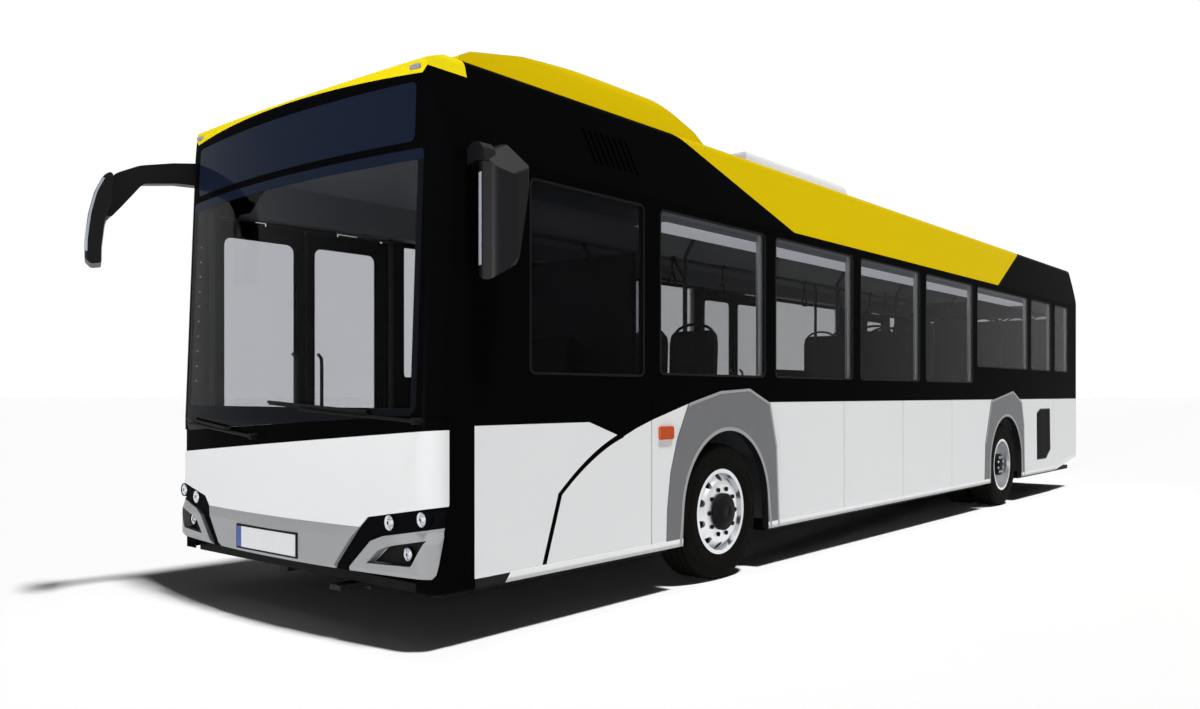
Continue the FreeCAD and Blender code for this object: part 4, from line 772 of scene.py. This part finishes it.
def window_trim():
    """Rubber seal of each side pane, and an alloy strip in all but the driver's."""
    panes = [(low, high) for low, high in islands("window_glass")
             if abs(low.x + high.x) > 2 * PANE_X]
    for n, (low, high) in enumerate(panes):
        side = 1 if low.x > 0 else -1
        y0, y1, z0, z1 = low.y - AXLE, high.y - AXLE, low.z, high.z
        ring = rounded(rectangle(y0, y1, z0, z1), PANE_R)
        band("window_seal_%02d" % n, ring, SEAL_WIDTH, side * SEAL_X[0], side * SEAL_X[1],
             "rubber", closed=True, bevel=0)
        if y0 < DRIVER_PANE and side > 0:
            continue
        x0, x1 = sorted(side * x for x in STRIP_X)
        block("window_strip_%02d" % n, (x0, y1 - STRIP_Y[0] + AXLE, z0 + STRIP_GAP),
              (x1, y1 - STRIP_Y[1] + AXLE, z1 - STRIP_GAP), "alloy", bevel=0.004)

# Wheel arches, as (y from the axle, z): the trim's outer corners, and the opening's lip, which
# is an arc between two straight legs
ARCHES = {
    "front": (0, [(-0.581, 1.006), (-0.447, 1.246), (-0.06, 1.328), (0.322, 1.347),
                  (0.618, 1.240), (0.717, 0.910), (0.755, 0.30)],
              ((-0.533, 0.30), (-0.504, 0.560), (0.040, 1.049), (0.580, 0.560), (0.619, 0.30))),
    "rear": (REAR_AXLE, [(-0.674, 0.762), (-0.481, 1.235), (0.284, 1.344), (0.613, 1.217),
                         (0.708, 0.945), (0.741, 0.30)],
             ((-0.518, 0.30), (-0.500, 0.600), (0.050, 1.045), (0.605, 0.600), (0.627, 0.30)))}
ARCH_R = 0.04
# Bands of painted highlight along the arches: their faces, the top band's width and the lip
# band's width
EDGE_X = (1.2752, 1.2770)
EDGE_WIDTH = 0.020
LIP_WIDTH = 0.026

def arch_edges():
    """Pale bands along the top of each wheel arch and the lip of its opening: painted highlight
    where the trim's bevels catch the light.
    """
    for name, (axle, corners, lip) in ARCHES.items():
        top = rounded([(y + axle, z) for y, z in corners], ARCH_R, closed=False)
        if name == "front":
            top = top[1:]
        foot, start, crown, end, last = lip
        lip = [(y + axle, z) for y, z in reversed([foot] + arc(start, crown, end, 36) + [last])]
        for side, word in SIDES:
            x0, x1 = (side * x for x in EDGE_X)
            band("arch_edge_%s_%s" % (name, word), top, EDGE_WIDTH, x0, x1, "edge",
                 bevel=0.0008)
            band("arch_lip_highlight_%s_%s" % (name, word), lip, LIP_WIDTH, x0, x1, "edge", bevel=0.0008)

INDICATOR = (-0.785, -0.632, 1.012, 1.098)
INDICATOR_X = (1.268, 1.288)

def indicators():
    """Amber indicator ahead of each front wheel."""
    ring = rounded(rectangle(*INDICATOR), 0.016)
    for side, word in SIDES:
        loops = [[(side * x, y + AXLE, z) for y, z in ring] for x in INDICATOR_X]
        prism("indicator_" + word, loops, "amber", bevel=0.005, closed=False)

# Front: lamps, plate, display board, wiper blades, position lamps

# Lamps on either side: x, z, radius and how far each is set back
LAMPS = [(0.988, 0.648, 0.042, 0.0), (1.204, 0.678, 0.040, 0.0), (1.093, 0.493, 0.037, 0.022)]

def front_y(x):
    """Where the bowed front stands, in the frame."""
    return FRONT + AXLE + BOW_R - math.sqrt(BOW_R * BOW_R - x * x)

def lathe_y(name, profile, x, y, z, key, steps=40):
    """Ring of (distance back, radius) points turned about an axis along the bus."""
    loops = []
    for i in range(steps):
        a = 2 * math.pi * i / steps
        loops.append([(x + r * math.sin(a), y + back, z + r * math.cos(a))
                      for back, r in profile])
    return prism(name, loops, key, smooth=True)

def bowl_profile(r):
    """Wall of the bowl and its inner paraboloid."""
    face, floor, back, axis = 0.003, 0.046, 0.055, 0.001
    inner, outer = r - 0.003, r - 0.0005
    wall = [(face, inner), (face, outer), (back, outer), (back, axis), (floor, axis)]
    return wall + [(floor - (floor - face) * t * t, axis + (inner - axis) * t)
                   for t in (0.3, 0.5, 0.7, 0.85)]

def bulb_profile():
    middle, r, axis = 0.018, 0.012, 0.0005
    turns = (math.pi * k / 8 for k in range(9))
    ball = [(middle + r * math.cos(a), max(axis, r * math.sin(a))) for a in turns]
    return ball + [(middle + r, 0.0003)]

def lens_profile(r):
    """Domed glass of even thickness."""
    crown, thick, axis = 0.006, 0.0025, 0.0005
    dome = [(-crown * (1 - t * t), max(axis, (r - 0.001) * t))
            for t in (0, 0.35, 0.6, 0.8, 0.93, 1)]
    return dome + [(back + thick, q) for back, q in reversed(dome)]

def bezel_profile(r):
    face, back, inner, outer = -0.003, 0.035, r - 0.002, r + 0.003
    return [(face, inner), (face, outer), (back, outer), (back, inner)]

def head_lamps():
    """Each lamp: chrome bowl with a bulb behind a domed clear lens, in a black bezel."""
    bowls, bulbs, lenses, bezels = [], [], [], []
    for off, z, r, deep in LAMPS:
        y = front_y(off) + deep
        for x in (off, -off):
            bowls.append(lathe_y("bowl", bowl_profile(r), x, y, z, "chrome"))
            bulbs.append(lathe_y("bulb", bulb_profile(), x, y, z, "bulb", 20))
            lenses.append(lathe_y("lens", lens_profile(r), x, y, z, "lamp"))
            bezels.append(lathe_y("bezel", bezel_profile(r), x, y, z, "trim"))
    merge("lamp_bulbs", bulbs)
    merge("lamp_lenses", lenses)
    merge("lamp_bezels", bezels)
    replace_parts(merge("lamp_bowls", bowls), "lamps")

def front_plate():
    """Blank plate in a black holder."""
    x0, x1, z0, z1 = PLATE
    rim = 0.012
    y = front_y(0.3) - 0.020
    block("plate_holder", (x0 - rim, y - 0.006, z0 - rim), (x1 + rim, y + 0.02, z1 + rim),
          "rubber")
    block("plate_front", (x0, y - 0.009, z0), (x1, y - 0.006, z1), "plate", bevel=0.001)

# Board behind the display pane: half its width, its foot and top, and how far it lies behind
# the front at the screen's foot, from which the screen leans back by LEAN a metre
BOARD_HALF = 1.06
BOARD_Z = (2.60, 2.90)
BOARD_BACK = 0.075
SCREEN_FOOT = 1.15
LEAN = 0.085 / 2.06

def display_board():
    """Dark blank board behind the destination glass."""
    low, high = BOARD_Z
    steps = 12
    rows = []
    for i in range(steps + 1):
        x = -BOARD_HALF + 2 * BOARD_HALF * i / steps
        y = front_y(x) + BOARD_BACK + LEAN * (low - SCREEN_FOOT)
        rows.append([(x, y - 0.012, low), (x, y, low), (x, y + 0.02, high),
                     (x, y + 0.008, high)])
    prism("display_board", rows, "board", closed=False)

# Wiper blades: (x, z) of both ends
BLADES = {"left": ((0.86, 1.215), (0.02, 1.262)), "right": ((-0.42, 1.098), (-1.06, 1.150))}

def wiper_blades():
    """Holder along each wiper arm with its rubber lying on the glass."""
    parts = []
    for name, ((x0, z0), (x1, z1)) in BLADES.items():
        points = []
        for t in (i / 8 for i in range(9)):
            x = x0 + (x1 - x0) * t
            y = front_y(x) - 0.030 + 0.004 * math.sin(math.pi * t)
            points.append((x, y, z0 + (z1 - z0) * t))
        parts.append(tube("holder_" + name, points, 0.009, "rubber", sides=8))
        low = [(x, y + 0.008, z - 0.012) for x, y, z in points]
        parts.append(tube("rubber_" + name, low, 0.005, "rubber", sides=6))
    merge("wiper_blades", parts)

# Position lamps on the roof's front corners: x and half the width, foot and top
MARKER_X = 1.09
MARKER_HALF = 0.038
MARKER_Z = (2.966, 2.992)

def roof_markers():
    parts = []
    y = front_y(MARKER_X) + 0.073
    for x in (MARKER_X, -MARKER_X):
        parts.append(block("marker", (x - MARKER_HALF, y - 0.012, MARKER_Z[0]),
                           (x + MARKER_HALF, y + 0.06, MARKER_Z[1]), "marker", bevel=0.008))
    merge("roof_markers", parts)

# Doors: brushes over the leaves, rubber edges, pane seals and inner grips

# Each leaf carries a brush from its jamb over BRUSH of its width, and the header the rest.
BRUSH = 0.400
BRUSH_X = (-1.262, -1.257)
HEADER_BRUSH_Z = (2.4935, 2.521)
LEAF_BRUSH_Z = (2.488, 2.5145)

# Leaf: its middle plane and half its thickness, foot and top of its meeting edge, the faces of
# its pane's seal, and the grip's (x, z) points
LEAF_X = -1.225
LEAF_HALF = 0.016
LEAF_Z = (0.36, 2.475)
LEAF_SEAL_X = (-1.2395, -1.2458)
GRIP = [(-1.222, 1.0), (-1.185, 1.03), (-1.180, 1.08), (-1.180, 1.52), (-1.185, 1.57),
        (-1.222, 1.60)]

def leaf_trim(stem, way):
    """Trim of one leaf; way is 1 where the leaves meet at its rear end, -1 at its front end."""
    leaf = stem + "_leaf"
    low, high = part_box(leaf)
    pane_low, pane_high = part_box(stem + "_glass")
    meet, jamb = (high.y, low.y) if way > 0 else (low.y, high.y)
    y0, y1 = sorted((meet, meet + way * 0.003))
    block(stem + "_edge", (LEAF_X - LEAF_HALF, y0, LEAF_Z[0]),
          (LEAF_X + LEAF_HALF, y1, LEAF_Z[1]), "rubber", leaf, bevel=0)
    y0, y1 = sorted((jamb + way * 0.012, jamb + way * BRUSH))
    block(stem + "_brush", (BRUSH_X[0], y0, LEAF_BRUSH_Z[0]),
          (BRUSH_X[1], y1, LEAF_BRUSH_Z[1]), "rubber", leaf, bevel=0)
    ring = rectangle(pane_low.y - AXLE, pane_high.y - AXLE, pane_low.z, pane_high.z)
    band(stem + "_seal", rounded(ring, 0.07), 0.016, *LEAF_SEAL_X, "rubber", leaf, closed=True,
         bevel=0)
    y = (pane_high.y if way > 0 else pane_low.y) - way * 0.035
    tube(stem + "_grip", [(x, y, z) for x, z in GRIP], 0.013, "pole", leaf)

def door_trim():
    gap = 0.010
    for n in (1, 2, 3):
        door = "door_%d" % n
        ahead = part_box(door + "_front_leaf")[0].y + BRUSH + gap
        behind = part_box(door + "_rear_leaf")[1].y - BRUSH - gap
        block(door + "_brush", (BRUSH_X[0], ahead, HEADER_BRUSH_Z[0]),
              (BRUSH_X[1], behind, HEADER_BRUSH_Z[1]), "rubber", bevel=0)
        leaf_trim(door + "_front", 1)
        leaf_trim(door + "_rear", -1)

# Wheels

# Tyres: outer radius, width, x of the outermost sidewall, distance between the twins, radius at
# the bead, the middles and depth of the tread's grooves, and how far in the shoulder reaches
TYRE_R = 0.4785
TYRE_W = 0.275
TYRE_OUT = 1.245
TWIN = 0.320
BEAD_R = 0.3003
GROOVES = (-0.084, -0.030, 0.030, 0.084)
GROOVE_DEPTH = 0.012
SHOULDER = 0.036

def turn_x(name, profile, y, key, body, steps=96, wave=None):
    """Ring of (x, radius) points turned about a wheel's axis."""
    loops = []
    for i in range(steps):
        a = 2 * math.pi * i / steps
        ring = [(x, r + (wave(x, r, i) if wave else 0)) for x, r in profile]
        loops.append([(x, y + r * math.sin(a), TYRE_R + r * math.cos(a)) for x, r in ring])
    return prism(name, loops, key, body, smooth=True)

def tyre_profile(x1, side):
    """Outline of a road tyre: rounded shoulders, ribbed sidewalls, grooves in the tread."""
    half = TYRE_W / 2
    middle = x1 - half
    wall = [(half - 0.008, BEAD_R), (half - 0.001, BEAD_R + 0.010), (half - 0.004, 0.322),
            (half - 0.001, 0.328), (half, 0.372), (half - 0.0005, 0.405),
            (half - 0.004, 0.412), (half - 0.002, 0.420), (half - 0.005, 0.446),
            (half - 0.014, 0.464), (half - 0.030, 0.4775), (half - 0.034, TYRE_R)]
    floor = TYRE_R - GROOVE_DEPTH
    tread = []
    for g in reversed(GROOVES):
        tread += [(g + 0.006, TYRE_R), (g + 0.004, floor), (g - 0.004, floor),
                  (g - 0.006, TYRE_R)]
    other = [(-x, r) for x, r in reversed(wall)]
    return [(side * (middle + x), r) for x, r in wall + tread + other]

def shoulder_cuts(side, x1):
    """Short notches in the shoulders, every third step of the turn."""
    middle = side * (x1 - TYRE_W / 2)

    def wave(x, r, i):
        outer = abs(x - middle) > TYRE_W / 2 - SHOULDER
        return -0.006 if outer and r > 0.460 and i % 3 == 0 else 0
    return wave

def tyre(name, x1, side, y, body):
    return turn_x(name, tyre_profile(x1, side), y + AXLE, "tyre", body, 150,
                  shoulder_cuts(side, x1))

def tyres():
    """Treaded tyres, single in front and twin behind, with their ribs' edges kept sharp."""
    for side, word in SIDES:
        one = tyre("tread_front_" + word, TYRE_OUT, side, 0, "wheel_front_" + word)
        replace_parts(one, "tyre_front_" + word)
        pair = [tyre("tread_%d" % k, TYRE_OUT - k * TWIN, side, REAR_AXLE,
                     "wheel_rear_" + word) for k in (0, 1)]
        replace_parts(merge("tread_rear_" + word, pair), "tyres_rear_" + word)
        for thing in (one, pair[0]):
            thing.data.set_sharp_from_angle(angle=math.radians(32))

# A nut and its bolt's end: radius, how far it stands out, and its number of sides
NUT = ((0.0165, 0.010, 6), (0.009, 0.014, 10))

def nuts(name, count, circle, x, y, side, body, key):
    """Ring of hexagonal wheel nuts with a bolt end."""
    parts = []
    for i in range(count):
        a = 2 * math.pi * (i + 0.5) / count
        cy = y + circle * math.sin(a)
        cz = TYRE_R + circle * math.cos(a)
        for r, deep, sides in NUT:
            turns = (2 * math.pi * k / sides + a for k in range(sides))
            ring = [(cy + r * math.cos(t), cz + r * math.sin(t)) for t in turns]
            loops = [[(end, u, v) for u, v in ring] for end in (x, x + side * deep)]
            parts.append(prism("nut", loops, key, body, closed=False))
    return merge(name, parts)

# Hubs, as (distance out, radius): the front wheels' cap from the tyre's face on, and the rear
# wheels' drum from DRUM_OUT past their disc on, which lies DISC_OUT from the twins' middle
CAP = [(-0.002, 0.0001), (-0.002, 0.130), (0.022, 0.130), (0.030, 0.122), (0.036, 0.086),
       (0.044, 0.080), (0.050, 0.058), (0.052, 0.0001)]
DRUM = [(0.0, 0.0001), (0.0, 0.118), (0.072, 0.128), (0.084, 0.124), (0.084, 0.060),
        (0.098, 0.052), (0.100, 0.0001)]
DRUM_OUT = 0.170
DISC_OUT = 0.014

def hub_trim():
    """Nuts and cap of the front wheels; nuts, drum and drum bolts of the rear ones."""
    for side, word in SIDES:
        front = "wheel_front_" + word
        face = side * TYRE_OUT
        nuts("nuts_front_" + word, 10, 0.1625, face, AXLE, side, front, "rubber")
        cap = [(face + side * out, r) for out, r in CAP]
        turn_x("hub_cap_" + word, cap, AXLE, "rubber", front, 64)
        rear = "wheel_rear_" + word
        disc = side * (TYRE_OUT - TYRE_W / 2 - TWIN / 2 + DISC_OUT)
        end = disc + side * DRUM_OUT
        y = REAR_AXLE + AXLE
        nuts("nuts_rear_" + word, 10, 0.1385, disc, y, side, rear, "steel")
        drum = [(end + side * out, r) for out, r in DRUM]
        turn_x("hub_end_" + word, drum, y, "rubber", rear, 48)
        nuts("hub_bolts_" + word, 8, 0.088, end + side * 0.083, y, side, rear, "steel")

# Mirrors

class Skin:
    """Finds points on the surface of one CAD node."""

    def __init__(self, node):
        made = bmesh.new()
        made.from_mesh(nodes[node].data)
        self.tree = BVHTree.FromBMesh(made)
        made.free()

    def hit(self, start, way, off=0.0015):
        """First point that a ray meets, a little before the surface."""
        way = Vector(way).normalized()
        point = self.tree.ray_cast(Vector(start), way)[0]
        return point - way * off

    def towards(self, centre, out, reach):
        """Point of the surface that is met from outside on the way to a centre."""
        return self.hit(centre + out * reach, -out, 0.002)

def plate_on(name, outer, way, key, thick=0.0025):
    """Thin plate that follows a grid of surface points; way points into the surface."""
    back = Vector(way).normalized() * -thick
    loops = []
    for row in outer:
        loops.append([tuple(p) for p in row] + [tuple(Vector(p) + back) for p in reversed(row)])
    return prism(name, loops, key, closed=False)

def spaced(low, length, steps):
    """Even places from low over a length."""
    return [low + length * k / steps for k in range(steps + 1)]

def left_mirror(skin):
    """Glass on the rear of the head, and a pale strip round its outer front edge: a painted
    reflection of the sky on the shell's curve.
    """
    back = (0, -1, 0)
    rows = [[skin.hit((x, -1.6 + AXLE, z), back) for x in spaced(1.352, 0.128, 4)]
            for z in spaced(1.965, 0.42, 12)]
    plate_on("mirror_glass_left", rows, back, "mirror")
    # Pale strip: painted reflection of the sky along the shell's curved outer front edge
    rows = []
    for z in spaced(1.965, 0.475, 12):
        centre = Vector((1.356, -2.385 + AXLE, z))
        turns = (math.radians(angle) for angle in (218, 234, 250, 266, 282))
        rows.append([skin.towards(centre, Vector((math.cos(a), math.sin(a), 0)), 0.2)
                     for a in turns])
    plate_on("mirror_edge_reflection_left", rows, (0.7, 0.7, 0), "strip", 0.001)

def right_mirror(skin):
    """The same on the right head, painted reflection included, which hangs turned from its long
    arm.
    """
    turn = math.radians(22.5)
    inward = Vector((math.cos(turn), -math.sin(turn), 0))
    fore = Vector((-math.sin(turn), -math.cos(turn), 0))
    tip = Vector((-1.300, -3.212 + AXLE, 0))
    rows = []
    for z in spaced(2.145, 0.44, 14):
        up = Vector((0, 0, z))
        rows.append([skin.hit(tip + inward * a + up - fore * 0.6, fore)
                     for a in (-0.17, -0.10, -0.05)])
    plate_on("mirror_glass_right", rows, fore, "mirror")
    # Pale strip: painted reflection of the sky along the shell's curved outer front edge
    rows = []
    for z in spaced(2.19, 0.46, 20):
        up = Vector((0, 0, z))
        row = [skin.towards(tip + inward * a + up, fore, 0.6) for a in (0.012, 0.03)]
        centre = row[-1] - fore * 0.022
        for a in (math.radians(angle) for angle in (30, 55, 80)):
            row.append(skin.towards(centre, fore * math.cos(a) + inward * math.sin(a), 0.3))
        rows.append(row)
    plate_on("mirror_edge_reflection_right", rows, -fore - inward, "strip", 0.001)

def mirror_faces():
    skin = Skin("mirrors")
    left_mirror(skin)
    right_mirror(skin)

# Cabin

# Handle over a seat's back: half its width, its rise, and how far it is set in from behind
LOOP_HALF = 0.185
LOOP_RISE = 0.085
LOOP_IN = 0.026

def seat_loops():
    """Arched handle over each passenger seat's back."""
    parts = []
    for n, (low, high) in enumerate(islands("seats")):
        x = (low.x + high.x) / 2
        y = high.y - LOOP_IN
        z = high.z
        arch = [(x - LOOP_HALF * math.cos(a), y, z - 0.03 + LOOP_RISE * math.sin(a))
                for a in (math.pi * k / 12 for k in range(13))]
        path = [(x - LOOP_HALF, y, z - 0.050)] + arch + [(x + LOOP_HALF, y, z - 0.050)]
        parts.append(tube("loop_%02d" % n, path, 0.0125, "seat"))
    merge("seat_loops", parts)

# Rail that the straps hang from, as (x, z); the first strap's y, the last's limit, the pitch
RAIL = (0.240, 2.440)
STRAPS = (0.79, 6.6, 0.76)

def straps():
    """Triangular hand loops, each on a belt with a cuff round the rail."""
    parts = []
    x, z = RAIL
    y, end, pitch = STRAPS
    while y < end:
        drop = 0.10 + 0.02 * math.sin(5 * y)
        parts.append(tube("belt", [(x, y + AXLE, z + 0.012), (x, y + AXLE, z - drop)], 0.009,
                          "rubber", sides=6))
        parts.append(tube("cuff", [(x - 0.02, y + AXLE, z), (x + 0.02, y + AXLE, z)], 0.019,
                          "rubber", sides=8))
        foot = z - drop - 0.13
        ring = rounded([(y, z - drop), (y - 0.058, foot), (y + 0.058, foot)], 0.018)
        parts.append(tube("hand", [(x, v + AXLE, w) for v, w in ring], 0.009, "rubber",
                          sides=6, closed=True))
        y += pitch
    merge("hand_straps", parts)

# Lamp panels: (x, z) outline and the y that they end at; both start at PANEL_START
PANEL_START = -0.62
LEFT_PANEL = ([(0.945, 2.4405), (1.205, 2.4405), (1.205, 2.4440), (0.945, 2.4440)], 7.2)
RIGHT_PANEL = ([(-0.84, 2.664), (-0.90, 2.626), (-0.902, 2.630), (-0.842, 2.668)], 8.2)

def light_strips():
    """Pale lamp panel under the left duct and one along the right cove."""
    for word, (ring, end), key in (("left", LEFT_PANEL, "diffuser"),
                                   ("right", RIGHT_PANEL, "pale")):
        loops = [[(x, y + AXLE, z) for x, z in ring] for y in (PANEL_START, end)]
        prism("lamp_panel_" + word, loops, key, closed=False)

# Rear

TAIL = 9.23

def rear_trim():
    """Blank plate on the hatch, and the high brake light."""
    y = TAIL + AXLE
    block("plate_rear", (-0.26, y - 0.004, 0.585), (0.26, y + 0.004, 0.695), "plate",
          "engine_hatch", bevel=0.001)
    block("brake_light_high", (-0.22, y - 0.012, 2.60), (0.22, y + 0.004, 2.635), "red",
          bevel=0.004)

for make in (window_trim, arch_edges, indicators, head_lamps, front_plate, display_board,
             wiper_blades, roof_markers, door_trim, tyres, hub_trim, mirror_faces, seat_loops,
             straps, light_strips, rear_trim):
    make()

# Camera, floor and light

EYE = (5.0257, -5.8313, 1.3042)
PITCH = -0.082
YAW = 40.084
LENS = 29.29
SHIFT_Y = 0.0345

# Suns: the way to the light, its strength and its width in degrees
FRONT_SUN = ((0.12, -0.99, 0.0), 3.1, 4)
TOP_SUN = ((0.31, 0.02, 0.95), 3.28, 6)

# Strength of the white world in reflections and for soft light; to the eye it is 1
GLOSSY_SKY = 0.7
SOFT_SKY = 0.025

def camera():
    data = bpy.data.cameras.new("camera")
    data.sensor_width = 36
    data.lens = LENS
    data.shift_y = SHIFT_Y
    data.clip_end = 300
    view = placed("camera", data)
    view.location = (EYE[0], EYE[1] + AXLE, EYE[2])
    view.rotation_euler = (math.radians(90 + PITCH), 0, math.radians(YAW))
    bpy.context.scene.camera = view

def sun(name, towards, strength, width):
    """Even light from one direction."""
    data = bpy.data.lights.new(name, "SUN")
    data.energy = strength
    data.angle = math.radians(width)
    placed(name, data).rotation_euler = Vector(towards).to_track_quat("Z", "Y").to_euler()

def studio():
    scene = bpy.context.scene
    scene.view_settings.view_transform = "Standard"
    scene.world = bpy.data.worlds.new("studio")
    scene.world.use_nodes = True
    sky = NodeTree(scene.world.node_tree)
    ray = sky.nodes.new("ShaderNodeLightPath").outputs
    seen = sky.either(ray["Is Camera Ray"], ray["Is Transmission Ray"])
    mirrored = sky.times(ray["Is Glossy Ray"], GLOSSY_SKY)
    back = sky.nodes["Background"]
    sky.put(back.inputs["Strength"], sky.either(sky.either(seen, mirrored), SOFT_SKY))
    back.inputs["Color"].default_value = (1, 1, 1, 1)
    sun("front_light", *FRONT_SUN)
    sun("top_light", *TOP_SUN)

def ground():
    size, z = 400, -0.001
    corners = [(-size, -size, z), (size, -size, z), (size, size, z), (-size, size, z)]
    mesh = bpy.data.meshes.new("ground")
    mesh.from_pydata(corners, [], [(0, 1, 2, 3)])
    look = Look("ground_white")
    look.set(Base_Color=look.spread(FLOOR_WHITE, 0.008, 0.3), Roughness=0.9,
             Specular_IOR_Level=0.0)
    mesh.materials.append(look.material)
    placed("ground", mesh)

camera()
studio()
ground()
